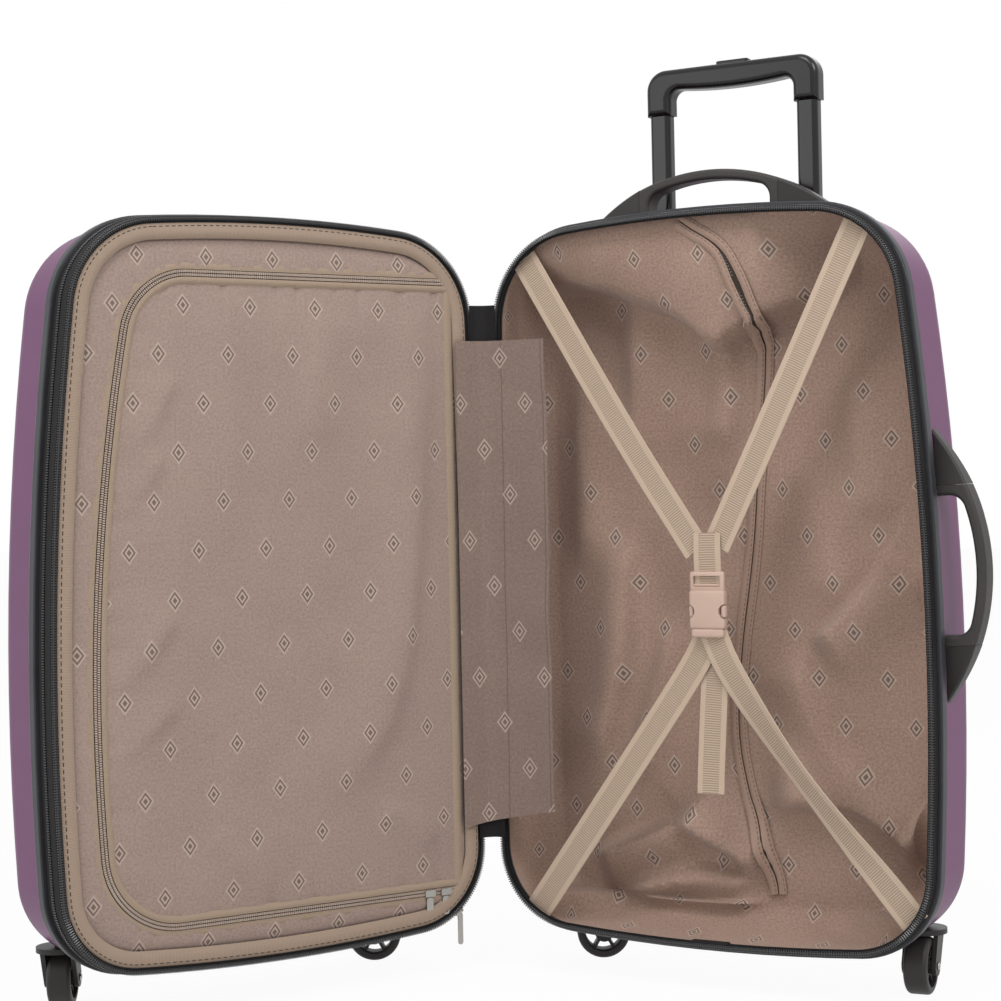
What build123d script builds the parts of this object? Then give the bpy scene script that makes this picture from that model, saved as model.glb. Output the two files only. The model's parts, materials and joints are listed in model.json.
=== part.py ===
"""Hard shell suitcase on four spinner wheels, standing open like a book.

Both halves are drawn in one half frame: X runs from the hinge side (negative) to the
opening side, Y is the depth behind the zip line, Z is the height above the floor.
The rear half is then set beside the hinge line, and the front half is the mirror image
of that place, turned about the hinge line to the angle at which the case stands open.
"""
from build123d import *
import math
import os

# Case outline, over the rims of one half
CASE_WIDTH = 430.0
CASE_HEIGHT = 658.0
TOP_ARCH_RADIUS = 1400.0
BOTTOM_ARCH_RADIUS = 1800.0
OPENING_SIDE_RADIUS = 2700.0
HINGE_SIDE_RADIUS = 14000.0
WIDEST_RISE = 233.0
TOP_CORNER_RADIUS = 88.0
BOTTOM_CORNER_RADIUS = 78.0
HINGE_GAP = 3.0
OPENING_ANGLE = 116.0

# Clearances that several pieces share: moving, seated and pinned
RUN_GAP = 0.3
SEAT_GAP = 0.2
PIN_CLEARANCE = 0.05

# Shells
SHELL_WALL = 2.4
SHELL_DRAFT = 3.0
SHELL_BACK_RADIUS = 34.0
REAR_DEPTH = 118.0
FRONT_DEPTH = 130.0
FLUTE_RADIUS = 26.0
FLUTE_SINK = 2.6
FLUTE_COUNT = 4
FLUTE_SPACING = 75.0
FLUTE_LENGTH = 420.0

# Rim, a channel that holds the shell's edge
RIM_WEB = 4.0
RIM_LIP = 2.2
RIM_LIP_LENGTH = 8.0
RIM_COVER = 1.7
RIM_ROUND = 1.6

# Zips: teeth, tape and the expander's second zip
TEETH_START = 0.2
TEETH_DEPTH = 2.2
TEETH_WIDTH = 3.6
TEETH_PROUD = 1.2
TAPE_OUTER = 4.0
TAPE_THICKNESS = 1.2
REAR_TAPE_END = 12.0
FRONT_TAPE_END = 14.0
COIL_DEPTH = 2.3
EXPANDER_TAPE_LENGTH = 11.0
GUSSET_CLEAR = 0.5
GUSSET_THICKNESS = 1.0

# Linings, and the folds of the rear one: ends from the middle of the case, across and up
LINING_THICKNESS = 1.2
LINING_GAP = 0.4
LINING_BACK_GAP = 2.0
FRONT_LINING_GAP = 6.0
LINING_BACK_RADIUS = 22.0
FOLD_HEIGHT = 4.5
FOLD_RADIUS = 20.0
FOLDS = (
    ((33.0, 212.0), (35.0, -262.0)),
    ((-120.0, 262.0), (20.0, 205.0)),
    ((142.0, 90.0), (52.0, -150.0)),
    ((-95.0, 170.0), (-70.0, -190.0)),
    ((-90.0, -236.0), (30.0, -200.0)),
    ((52.0, -215.0), (138.0, -130.0)),
)

# Hinge web and the flap that covers it
WEB_THICKNESS = 1.0
WEB_FACE = 0.4
WEB_MARGIN = 98.0
FLAP_THICKNESS = 1.2
FLAP_LIFT = 1.4
FLAP_FRONT = 31.0
FLAP_REAR = 54.0
FLAP_SINK = 4.0
FLAP_MARGIN_LOW = 98.0
FLAP_MARGIN_HIGH = 112.0

# Divider of the front half: the zipped door inside its border
DOOR_MARGIN_OPENING = 44.0
DOOR_LEAN = 34.0
DOOR_MARGIN_HINGE = 33.0
DOOR_MARGIN_LOW = 48.0
DOOR_MARGIN_HIGH = 50.0
DOOR_CORNER = 46.0
DOOR_FACE = 3.6
DOOR_THICKNESS = 3.6
DOOR_GAP = 0.5
BORDER_FACE = 4.8
BORDER_THICKNESS = 1.5
DIVIDER_ZIP_WIDTH = 6.0
DIVIDER_ZIP_DEPTH = 3.0
DIVIDER_SLIDER_STEPS = (32.0, 15.0)
SLIDER_LENGTH = 11.0
SLIDER_WIDTH = 6.0
SLIDER_DEPTH = 2.6
PULL_LENGTH = 17.0
PULL_WIDTH = 7.0
PULL_THICKNESS = 1.3
PULL_HOLE_RADIUS = 2.0

# Main zip slider, parked at the hinge end of the bottom run
MAIN_SLIDER_ANGLE = 232.0
MAIN_SLIDER_SIZE = 9.0
MAIN_SLIDER_HEIGHT = 3.4
MAIN_PULL_LENGTH = 30.0
MAIN_PULL_WIDTH = 5.0

# Trolley: tubes in three stages, grip, bezel, release and feet
TROLLEY_BACK = 26.0
TUBE_SPACING = 146.0
INNER_TUBE_WIDTH = 20.0
INNER_TUBE_DEPTH = 15.0
TUBE_WALL = 1.1
TUBE_CLEARANCE = 0.4
TUBE_CORNER = 4.5
INNER_TUBE_LENGTH = 276.0
MID_TUBE_LENGTH = 285.0
OUTER_TUBE_RISE = 40.0
FOOT_DEPTH = 20.0
GRIP_LEG_WIDTH = 24.0
GRIP_DEPTH = 22.0
GRIP_HEIGHT = 42.0
GRIP_BAR = 22.0
GRIP_BELLY = 4.0
GRIP_CORNER = 19.0
GRIP_INNER_CORNER = 9.0
GRIP_ROUND = 6.0
GRIP_SINK = 8.0
GRIP_RAISED = 146.0
WELL_CLEARANCE = 0.6
WELL_FLOOR = 7.5
BEZEL_WALL = 3.4
BEZEL_PROUD = 1.5
BEZEL_CORNER = 6.0
BUTTON_LENGTH = 32.0
BUTTON_WIDTH = 10.0
BUTTON_PROUD = 3.0
BUTTON_TRAVEL = 3.0
ROD_BAR = 5.0
ROD_DROP = 8.0
ROD_RADIUS = 2.5
ROD_HOLE_RADIUS = 4.5
PLUG_LENGTH = 18.0

# Carry handles: one arch from toe to toe, cut by a seam into the grip and its two end caps
HANDLE_REACH = 119.0
HANDLE_SEAM = 68.0
HANDLE_RISE = 40.0
HANDLE_TOE_DROP = 4.0
HANDLE_THICKNESS = 9.0
HANDLE_LEG = 9.0
HANDLE_THROAT = 14.0
HANDLE_WIDTH = 22.0
HANDLE_ROUND = 3.4
HANDLE_SETBACK = 25.0
HANDLE_TRAVEL = 8.0
HANDLE_LIFT = 1.5
CAP_SINK = 14.0
CAP_TOE_WIDTH = 12.0
CAP_ROUND = 2.6
CAP_FLOOR = 3.0
TONGUE_LENGTH = 11.0
TONGUE_WIDTH = 15.0
TONGUE_THICKNESS = 5.0
SIDE_HANDLE_RISE = 340.0

# Casters
CASTER_INSET = 48.0
REAR_CASTER_BACK = 29.0
FRONT_CASTER_BACK = 24.0
HOUSING_SINK = 22.0
WHEEL_WELL_RADIUS = 39.0
HOUSING_WALL = 2.5
HOUSING_ROOF = 5.0
SOCKET_RADIUS = 9.0
SOCKET_ROOF = 2.0
CROWN_RADIUS = 20.0
CROWN_THICKNESS = 4.5
CROWN_CLEARANCE = 1.2
KINGPIN_RADIUS = 4.0
KINGPIN_LENGTH = 6.5
WHEEL_RADIUS = 25.0
WHEEL_WIDTH = 21.0
WHEEL_SIDE_GAP = 0.6
TREAD_THICKNESS = 6.5
TREAD_ROUND = 4.0
HUB_RADIUS = 7.0
WEB_RECESS = 3.0
SPOKE_COUNT = 6
SPOKE_WIDTH = 2.6
SPOKE_ROOT = 1.2
AXLE_RADIUS = 3.0
AXLE_HEAD = 0.8
FORK_LEG = 4.0
FORK_BOSS_RADIUS = 8.5
CASTER_TRAIL = 14.0
REAR_INNER_TURN = 211.0
REAR_OUTER_TURN = 96.0
FRONT_INNER_TURN = 213.0
FRONT_OUTER_TURN = 303.0

# Luggage straps; each end is given by its margins from the side and from the top or bottom
STRAP_WIDTH = 25.0
STRAP_THICKNESS = 1.4
STRAP_FACE = 8.4
STRAP_CENTRE = 7.0
STRAP_UPPER_LEFT = (32.0, 34.0)
STRAP_UPPER_RIGHT = (76.0, 30.0)
STRAP_LOWER_LEFT = (47.0, 32.0)
STRAP_LOWER_RIGHT = (29.0, 40.0)
STRAP_UPPER_STEP = 20.0
STRAP_LOWER_STEP = 10.0
TAIL_LENGTH = 134.0
KEEPER_LENGTH = 34.0
BUCKLE_DROP = 23.0
BUCKLE_LENGTH = 60.0
BUCKLE_PLUG_LENGTH = 21.0
BUCKLE_WIDTH = 36.0
BUCKLE_THICKNESS = 9.0
BUCKLE_FACE = 1.6
BUCKLE_CORNER = 5.0
PRONG_WIDTH = 5.0
PRONG_WINDOW = 17.0

# Heights that follow from the wheels up
CROWN_BOTTOM = 2 * WHEEL_RADIUS + CROWN_CLEARANCE
HOUSING_BOTTOM = CROWN_BOTTOM + CROWN_THICKNESS + RUN_GAP
SOCKET_TOP = HOUSING_BOTTOM + KINGPIN_LENGTH + RUN_GAP + SOCKET_ROOF
RIM_BOTTOM = HOUSING_BOTTOM - HOUSING_SINK
RIM_TOP = RIM_BOTTOM + CASE_HEIGHT
MID_HEIGHT = (RIM_BOTTOM + RIM_TOP) / 2
WIDEST_HEIGHT = RIM_BOTTOM + WIDEST_RISE
SIDE_HANDLE_HEIGHT = RIM_BOTTOM + SIDE_HANDLE_RISE
GRIP_STOWED_TOP = RIM_TOP - GRIP_SINK
GRIP_TOP = GRIP_STOWED_TOP + GRIP_RAISED
WELL_BOTTOM = GRIP_STOWED_TOP - GRIP_HEIGHT - WELL_CLEARANCE
BEZEL_BOTTOM = WELL_BOTTOM - WELL_FLOOR
INNER_TUBE_FOOT = GRIP_TOP - GRIP_HEIGHT - INNER_TUBE_LENGTH
MID_TUBE_FOOT = WELL_BOTTOM - MID_TUBE_LENGTH
OUTER_TUBE_FOOT = RIM_BOTTOM + OUTER_TUBE_RISE
DOOR_LOW = RIM_BOTTOM + DOOR_MARGIN_LOW
DOOR_HIGH = RIM_TOP - DOOR_MARGIN_HIGH
SLIDER_HEIGHT = DOOR_LOW - DOOR_GAP - DIVIDER_ZIP_WIDTH / 2
BUCKLE_HIGH = MID_HEIGHT - BUCKLE_DROP + BUCKLE_LENGTH / 2
BUCKLE_LOW = BUCKLE_HIGH - BUCKLE_LENGTH
BUCKLE_SPLIT = BUCKLE_LOW + BUCKLE_PLUG_LENGTH
STRAP_JOIN_HIGH = BUCKLE_HIGH + STRAP_UPPER_STEP
STRAP_JOIN_LOW = BUCKLE_LOW - STRAP_LOWER_STEP

# Places across the case and behind the zip line
HALF_SHIFT = HINGE_GAP + CASE_WIDTH / 2
REST_TURN = 180.0 - OPENING_ANGLE
DOOR_OUTER = CASE_WIDTH / 2 - DOOR_MARGIN_OPENING
DOOR_HINGE = DOOR_MARGIN_HINGE - CASE_WIDTH / 2
DIVIDER_SLIDERS = [DOOR_HINGE + step for step in DIVIDER_SLIDER_STEPS]
CASTER_REACH = CASE_WIDTH / 2 - CASTER_INSET
REAR_CASTER_DEPTH = REAR_DEPTH - REAR_CASTER_BACK
FRONT_CASTER_DEPTH = FRONT_DEPTH - FRONT_CASTER_BACK
TROLLEY_DEPTH = REAR_DEPTH - TROLLEY_BACK
COIL_SPLIT = FRONT_TAPE_END + COIL_DEPTH
FRONT_COIL_END = COIL_SPLIT + RUN_GAP + COIL_DEPTH
FRONT_RIM_START = FRONT_COIL_END + EXPANDER_TAPE_LENGTH
REAR_SHELL_START = REAR_TAPE_END + RIM_WEB
FRONT_SHELL_START = FRONT_RIM_START + RIM_WEB
HANDLE_DEPTH = REAR_SHELL_START + HANDLE_SETBACK
BEZEL_DEPTH = GRIP_DEPTH + 2 * (WELL_CLEARANCE + BEZEL_WALL)
REAR_LINING_BACK = TROLLEY_DEPTH - BEZEL_DEPTH / 2 - LINING_BACK_GAP

# Insets from the outline, and sizes of pieces that fit round others
SHELL_INSET = RIM_LIP + SEAT_GAP
RIM_WIDTH = SHELL_INSET + SHELL_WALL + RIM_COVER
LINING_INSET = SHELL_INSET + SHELL_WALL + LINING_GAP
TEETH_OUTER = TAPE_OUTER - TEETH_PROUD
TEETH_INNER = TEETH_OUTER + TEETH_WIDTH
TAPE_INNER = TAPE_OUTER + TAPE_THICKNESS
MID_TUBE_WIDTH = INNER_TUBE_WIDTH + 2 * (TUBE_CLEARANCE + TUBE_WALL)
MID_TUBE_DEPTH = INNER_TUBE_DEPTH + 2 * (TUBE_CLEARANCE + TUBE_WALL)
OUTER_TUBE_WIDTH = MID_TUBE_WIDTH + 2 * (TUBE_CLEARANCE + TUBE_WALL)
OUTER_TUBE_DEPTH = MID_TUBE_DEPTH + 2 * (TUBE_CLEARANCE + TUBE_WALL)
GRIP_WIDTH = TUBE_SPACING + GRIP_LEG_WIDTH
ARCH_HEIGHT = HANDLE_RISE + HANDLE_TOE_DROP
ARCH_RADIUS = (HANDLE_REACH**2 + ARCH_HEIGHT**2) / (2 * ARCH_HEIGHT)
WEB_RADIUS = WHEEL_RADIUS - TREAD_THICKNESS
LEG_FACE = WHEEL_WIDTH / 2 + WHEEL_SIDE_GAP

TOP_CENTRE = Vector(0, RIM_TOP - TOP_ARCH_RADIUS)
BOTTOM_CENTRE = Vector(0, RIM_BOTTOM + BOTTOM_ARCH_RADIUS)
OPENING_CENTRE = Vector(CASE_WIDTH / 2 - OPENING_SIDE_RADIUS, WIDEST_HEIGHT)
HINGE_CENTRE = Vector(HINGE_SIDE_RADIUS - CASE_WIDTH / 2, WIDEST_HEIGHT)


def corner_centre(arch, arch_radius, side, side_radius, radius, towards):
    """Centre of the corner circle that touches a top or bottom arch and a side arch."""
    reach_arch = arch_radius - radius
    reach_side = side_radius - radius
    gap = side - arch
    along = (reach_arch**2 - reach_side**2 + gap.length**2) / (2 * gap.length)
    foot = arch + gap.normalized() * along
    across = Vector(-gap.Y, gap.X).normalized() * math.sqrt(reach_arch**2 - along**2)
    return max(foot + across, foot - across, key=lambda spot: spot.dot(towards))


TOP_OPENING = corner_centre(TOP_CENTRE, TOP_ARCH_RADIUS, OPENING_CENTRE, OPENING_SIDE_RADIUS,
                            TOP_CORNER_RADIUS, Vector(1, 1))
TOP_HINGE = corner_centre(TOP_CENTRE, TOP_ARCH_RADIUS, HINGE_CENTRE, HINGE_SIDE_RADIUS,
                          TOP_CORNER_RADIUS, Vector(-1, 1))
LOW_OPENING = corner_centre(BOTTOM_CENTRE, BOTTOM_ARCH_RADIUS, OPENING_CENTRE, OPENING_SIDE_RADIUS,
                            BOTTOM_CORNER_RADIUS, Vector(1, -1))
LOW_HINGE = corner_centre(BOTTOM_CENTRE, BOTTOM_ARCH_RADIUS, HINGE_CENTRE, HINGE_SIDE_RADIUS,
                          BOTTOM_CORNER_RADIUS, Vector(-1, -1))


def outline_face(inset, depth):
    """The case outline, inset by a distance, as a face at one depth."""
    chain = [
        (TOP_CENTRE, TOP_ARCH_RADIUS, TOP_OPENING),
        (OPENING_CENTRE, OPENING_SIDE_RADIUS, TOP_OPENING),
        (OPENING_CENTRE, OPENING_SIDE_RADIUS, LOW_OPENING),
        (BOTTOM_CENTRE, BOTTOM_ARCH_RADIUS, LOW_OPENING),
        (BOTTOM_CENTRE, BOTTOM_ARCH_RADIUS, LOW_HINGE),
        (HINGE_CENTRE, HINGE_SIDE_RADIUS, LOW_HINGE),
        (HINGE_CENTRE, HINGE_SIDE_RADIUS, TOP_HINGE),
        (TOP_CENTRE, TOP_ARCH_RADIUS, TOP_HINGE),
    ]
    joints = [middle + (corner - middle).normalized() * (radius - inset) for middle, radius, corner in chain]
    middles = [TOP_OPENING, OPENING_CENTRE, LOW_OPENING, BOTTOM_CENTRE,
               LOW_HINGE, HINGE_CENTRE, TOP_HINGE, TOP_CENTRE]
    arcs = []
    for index, middle in enumerate(middles):
        start = joints[index]
        end = joints[(index + 1) % len(joints)]
        bulge = ((start - middle).normalized() + (end - middle).normalized()).normalized()
        halfway = middle + bulge * (start - middle).length
        arcs.append(ThreePointArc(*[(spot.X, depth, spot.Y) for spot in (start, halfway, end)]))
    return make_face(arcs)


def prism(inset, start, end):
    """The outline extruded straight back from one depth to another."""
    return extrude(outline_face(inset, start), end - start, dir=(0, 1, 0))


def ring(outer, inner, start, end):
    """A band that follows the outline between two insets."""
    return prism(outer, start, end) - prism(inner, start, end)


def dish(inset, start, end, radius):
    """A drafted block with a rounded back edge, the form of the shells and linings."""
    block = extrude(outline_face(inset, start), end - start, dir=(0, 1, 0), taper=SHELL_DRAFT)
    return fillet(block.faces().sort_by(Axis.Y)[-1].edges(), radius)


def lining_fold(start, end, face):
    """A fold of slack cloth, a long spindle that rises out of a panel and fades at both ends."""
    run = Vector(end[0] - start[0], end[1] - start[1])
    profile = make_face([ThreePointArc((0, 0), (FOLD_RADIUS, run.length / 2), (0, run.length)),
                         Line((0, run.length), (0, 0))])
    spindle = Rot(90, 0, 0) * revolve(profile, Axis.Y)
    turn = math.degrees(math.atan2(run.X, run.Y))
    return Pos(start[0], face + FOLD_RADIUS - FOLD_HEIGHT, MID_HEIGHT + start[1]) * Rot(0, turn, 0) * spindle


def wheel_wells(depth, grow, top):
    """Cutters round both wheel wells of a half, grown by a gap and closed at a height."""
    align = (Align.CENTER, Align.CENTER, Align.MIN)
    well = Cylinder(WHEEL_WELL_RADIUS + HOUSING_WALL + grow, top + grow, align=align)
    return [Pos(hand * CASTER_REACH, depth, 0) * well for hand in (-1, 1)]


def lining(outside, room, caster_depth):
    """A cloth tray between two forms that rises over the wheel wells in its lower corners."""
    outside -= wheel_wells(caster_depth, LINING_GAP, SOCKET_TOP)
    return outside - (room - wheel_wells(caster_depth, LINING_GAP + LINING_THICKNESS, SOCKET_TOP))


def rear_lining():
    """The rear half's lining: a cloth tray with slack folds across its back."""
    wall = LINING_THICKNESS
    room = dish(LINING_INSET + wall, REAR_SHELL_START, REAR_LINING_BACK - wall, LINING_BACK_RADIUS - wall)
    room -= [lining_fold(start, end, REAR_LINING_BACK - wall) for start, end in FOLDS]
    outside = dish(LINING_INSET, REAR_SHELL_START, REAR_LINING_BACK, LINING_BACK_RADIUS)
    return lining(outside, room, REAR_CASTER_DEPTH)


def front_lining():
    """The front half's lining: a plain cloth tray behind the divider."""
    wall = LINING_THICKNESS
    back = FRONT_DEPTH - FRONT_LINING_GAP
    room = dish(LINING_INSET + wall, FRONT_SHELL_START, back - wall, SHELL_BACK_RADIUS - wall)
    return lining(dish(LINING_INSET, FRONT_SHELL_START, back, SHELL_BACK_RADIUS), room, FRONT_CASTER_DEPTH)


def box_between(low, high):
    """A box given by its lowest and highest corners."""
    size = [high[axis] - low[axis] for axis in range(3)]
    return Pos(*low) * Box(*size, align=(Align.MIN, Align.MIN, Align.MIN))


def flutes(back, wall):
    """Round-ended cutters of the upright flutes in a shell's back."""
    radius = FLUTE_RADIUS + wall
    axis_depth = back - wall - FLUTE_SINK + radius
    cutters = []
    for index in range(FLUTE_COUNT):
        across = (index - (FLUTE_COUNT - 1) / 2) * FLUTE_SPACING
        bar = Cylinder(radius, FLUTE_LENGTH)
        ends = [Pos(0, 0, side * FLUTE_LENGTH / 2) * Sphere(radius) for side in (-1, 1)]
        cutters.append(Pos(across, axis_depth, MID_HEIGHT) * (bar + ends))
    return cutters


def shell(start, back, caster_depth):
    """A thin moulded shell with fluted back and a round hole over each wheel."""
    outside = dish(SHELL_INSET, start, back, SHELL_BACK_RADIUS) - flutes(back, 0)
    inside = dish(SHELL_INSET + SHELL_WALL, start, back - SHELL_WALL, SHELL_BACK_RADIUS - SHELL_WALL)
    holes = wheel_wells(caster_depth, SEAT_GAP, HOUSING_BOTTOM + HOUSING_ROOF)
    return outside - (inside - flutes(back, SHELL_WALL)) - holes


def shell_cutter(start, back):
    """The shell's outside with a seat gap, to shape what sits on it."""
    return dish(SHELL_INSET - SEAT_GAP, start, back + SEAT_GAP, SHELL_BACK_RADIUS)


def rim(start):
    """The trim channel round a shell's edge: a web across the edge and a lip outside it."""
    lip_end = start + RIM_WEB + RIM_LIP_LENGTH
    block = prism(0, start, lip_end)
    outer = [edge for end in (0, -1) for edge in block.faces().sort_by(Axis.Y)[end].edges()]
    block = fillet(outer, RIM_ROUND)
    return block - prism(RIM_WIDTH, start, start + RIM_WEB) - prism(RIM_LIP, start + RIM_WEB, lip_end)


def inset_at(start, depth):
    """How far the drafted shell lies inside the rim outline at a depth."""
    return SHELL_INSET + (depth - start) * math.tan(math.radians(SHELL_DRAFT))


def tube(width, deep, low, high):
    """Both tubes of one trolley stage."""
    section = RectangleRounded(width, deep, TUBE_CORNER) - RectangleRounded(
        width - 2 * TUBE_WALL, deep - 2 * TUBE_WALL, TUBE_CORNER - TUBE_WALL)
    stage = extrude(section, high - low)
    return Compound([Pos(side * TUBE_SPACING / 2, TROLLEY_DEPTH, low) * stage for side in (-1, 1)])


def tube_holes(width, deep, low, high):
    """Cutters for the two tubes of a stage."""
    cutter = extrude(RectangleRounded(width, deep, TUBE_CORNER), high - low)
    return [Pos(side * TUBE_SPACING / 2, TROLLEY_DEPTH, low) * cutter for side in (-1, 1)]


def trolley_grip():
    """The U-shaped grip with the button's slot, the bar's channel and the rods' bores."""
    arch = Pos(0, -GRIP_HEIGHT / 2) * Rectangle(GRIP_WIDTH, GRIP_HEIGHT)
    arch = fillet(arch.vertices().group_by(Axis.Y)[-1], GRIP_CORNER)
    reach = GRIP_WIDTH / 2 - GRIP_LEG_WIDTH
    shoulder = GRIP_BELLY - GRIP_BAR
    gap = make_face([
        ThreePointArc((-reach, shoulder), (0, -GRIP_BAR), (reach, shoulder)),
        Polyline((reach, shoulder), (reach, -GRIP_HEIGHT), (-reach, -GRIP_HEIGHT), (-reach, shoulder)),
    ])
    gap = fillet(gap.vertices().group_by(Axis.Y)[-1], GRIP_INNER_CORNER)
    grip = extrude(arch - gap, GRIP_DEPTH / 2, both=True)
    grip = fillet(grip.edges().group_by(Axis.Z)[-1], GRIP_ROUND)
    grip = fillet(grip.edges().group_by(Axis.Z)[0], GRIP_ROUND)
    grip = Pos(0, TROLLEY_DEPTH, GRIP_TOP) * Rot(90, 0, 0) * grip
    half_bar = TUBE_SPACING / 2 + ROD_HOLE_RADIUS
    slot = BUTTON_LENGTH / 2 + RUN_GAP
    slot_side = BUTTON_WIDTH / 2 + RUN_GAP
    bar_side = ROD_BAR / 2 + WELL_CLEARANCE
    bar_low = GRIP_TOP - ROD_DROP - ROD_BAR - BUTTON_TRAVEL - RUN_GAP
    bar_high = GRIP_TOP - ROD_DROP + RUN_GAP
    slot_low = GRIP_TOP - ROD_DROP - BUTTON_TRAVEL - RUN_GAP
    grip -= box_between((-slot, TROLLEY_DEPTH - slot_side, slot_low),
                        (slot, TROLLEY_DEPTH + slot_side, GRIP_TOP))
    grip -= box_between((-half_bar, TROLLEY_DEPTH - bar_side, bar_low),
                        (half_bar, TROLLEY_DEPTH + bar_side, bar_high))
    for side in (-1, 1):
        bore = Cylinder(ROD_HOLE_RADIUS, GRIP_HEIGHT, align=(Align.CENTER, Align.CENTER, Align.MIN))
        grip -= Pos(side * TUBE_SPACING / 2, TROLLEY_DEPTH, bar_high - GRIP_HEIGHT) * bore
    return grip


def release_button():
    """The push button, rounded on top, standing on the rods' bar."""
    height = ROD_DROP + BUTTON_PROUD
    key = extrude(RectangleRounded(BUTTON_LENGTH, BUTTON_WIDTH, BUTTON_WIDTH / 4), height)
    key = fillet(key.faces().sort_by(Axis.Z)[-1].edges(), BUTTON_PROUD / 2)
    return Pos(0, TROLLEY_DEPTH, GRIP_TOP - ROD_DROP) * key


def release_rods():
    """The bar under the button with a rod down each leg to the lock plugs."""
    top = GRIP_TOP - ROD_DROP
    low = INNER_TUBE_FOOT + PLUG_LENGTH + BUTTON_TRAVEL + RUN_GAP
    bar = box_between((-TUBE_SPACING / 2 - ROD_RADIUS, TROLLEY_DEPTH - ROD_BAR / 2, top - ROD_BAR),
                      (TUBE_SPACING / 2 + ROD_RADIUS, TROLLEY_DEPTH + ROD_BAR / 2, top))
    rod = Cylinder(ROD_RADIUS, top - low, align=(Align.CENTER, Align.CENTER, Align.MIN))
    return bar + [Pos(side * TUBE_SPACING / 2, TROLLEY_DEPTH, low) * rod for side in (-1, 1)]


def lock_plugs():
    """The plugs that close the feet of the inner tubes and carry their lock pins."""
    width = INNER_TUBE_WIDTH - 2 * TUBE_WALL - SEAT_GAP
    deep = INNER_TUBE_DEPTH - 2 * TUBE_WALL - SEAT_GAP
    plug = extrude(RectangleRounded(width, deep, TUBE_CORNER - TUBE_WALL), PLUG_LENGTH)
    return Compound([Pos(side * TUBE_SPACING / 2, TROLLEY_DEPTH, INNER_TUBE_FOOT) * plug for side in (-1, 1)])


def bezel_block(low, clearance):
    """The bezel's upright outline, with a clearance for the hole that it fills."""
    width = GRIP_WIDTH + 2 * (WELL_CLEARANCE + BEZEL_WALL + clearance)
    section = RectangleRounded(width, BEZEL_DEPTH + 2 * clearance, BEZEL_CORNER)
    return Pos(0, TROLLEY_DEPTH, low) * extrude(section, RIM_TOP - low)


def trolley_bezel():
    """The cup in the shell's top that takes the stowed grip, with wells for its legs."""
    crown = dish(SHELL_INSET - BEZEL_PROUD, REAR_SHELL_START, REAR_DEPTH, SHELL_BACK_RADIUS)
    bezel = bezel_block(BEZEL_BOTTOM, 0) & crown
    half = GRIP_WIDTH / 2 + WELL_CLEARANCE
    side = GRIP_DEPTH / 2 + WELL_CLEARANCE
    bar_floor = GRIP_STOWED_TOP - GRIP_BAR - WELL_CLEARANCE
    bezel -= box_between((-half, TROLLEY_DEPTH - side, bar_floor), (half, TROLLEY_DEPTH + side, RIM_TOP))
    for hand in (-1, 1):
        middle = hand * TUBE_SPACING / 2
        reach = GRIP_LEG_WIDTH / 2 + WELL_CLEARANCE
        bezel -= box_between((middle - reach, TROLLEY_DEPTH - side, WELL_BOTTOM),
                             (middle + reach, TROLLEY_DEPTH + side, bar_floor))
        corner = middle - hand * GRIP_INNER_CORNER
        bezel -= box_between((corner - reach, TROLLEY_DEPTH - side, bar_floor - GRIP_INNER_CORNER),
                             (corner + reach, TROLLEY_DEPTH + side, bar_floor))
    return bezel - tube_holes(MID_TUBE_WIDTH + 2 * TUBE_CLEARANCE, MID_TUBE_DEPTH + 2 * TUBE_CLEARANCE,
                              BEZEL_BOTTOM, WELL_BOTTOM)


def trolley_foot():
    """The bracket inside the shell's bottom that carries the outer tubes."""
    half = (TUBE_SPACING + OUTER_TUBE_WIDTH) / 2
    block = box_between((-half, TROLLEY_DEPTH - FOOT_DEPTH / 2, RIM_BOTTOM),
                        (half, TROLLEY_DEPTH + FOOT_DEPTH / 2, OUTER_TUBE_FOOT))
    room = dish(SHELL_INSET + SHELL_WALL + SEAT_GAP, REAR_SHELL_START, REAR_DEPTH - SHELL_WALL,
                SHELL_BACK_RADIUS - SHELL_WALL)
    return block & room


def handle_arch():
    """A carry handle's side view, lying along X on a surface at Y = 0, with its finger opening."""
    toe = -HANDLE_TOE_DROP
    arch = make_face([
        ThreePointArc((-HANDLE_REACH, toe), (0, HANDLE_RISE), (HANDLE_REACH, toe)),
        Polyline((HANDLE_REACH, toe), (HANDLE_REACH, -CAP_SINK),
                 (-HANDLE_REACH, -CAP_SINK), (-HANDLE_REACH, toe)),
    ])
    reach = HANDLE_SEAM - HANDLE_LEG
    opening = Pos(0, HANDLE_RISE - ARCH_RADIUS) * Circle(ARCH_RADIUS - HANDLE_THICKNESS)
    opening &= Pos(0, (HANDLE_RISE - CAP_SINK) / 2) * Rectangle(2 * reach, HANDLE_RISE + CAP_SINK)
    return arch - fillet(opening.vertices().group_by(Axis.Y)[-1], HANDLE_THROAT)


def tongue(clearance, travel):
    """The end tab of a grip that a cap holds, or with clearances the pocket that it slides in."""
    side = TONGUE_WIDTH / 2 + clearance
    end = HANDLE_SEAM + TONGUE_LENGTH + clearance
    low = CAP_FLOOR + RUN_GAP - clearance
    return box_between((HANDLE_SEAM - HANDLE_LEG, -side, low),
                       (end, side, low + TONGUE_THICKNESS + 2 * clearance + travel))


def handle_grip():
    """A carry handle's grip between the seams, with a tongue at each end."""
    band = Pos(0, HANDLE_RISE / 2 + HANDLE_LIFT) * Rectangle(2 * (HANDLE_SEAM - RUN_GAP), HANDLE_RISE)
    grip = extrude(handle_arch() & band, HANDLE_WIDTH / 2, both=True)
    for end in (0, -1):
        long_edges = grip.edges().group_by(Axis.Z)[end].filter_by(GeomType.CIRCLE)
        grip = fillet(long_edges, HANDLE_ROUND)
    grip = Rot(90, 0, 0) * grip
    return grip + [tongue(0, 0), mirror(tongue(0, 0), about=Plane.YZ)]


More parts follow.
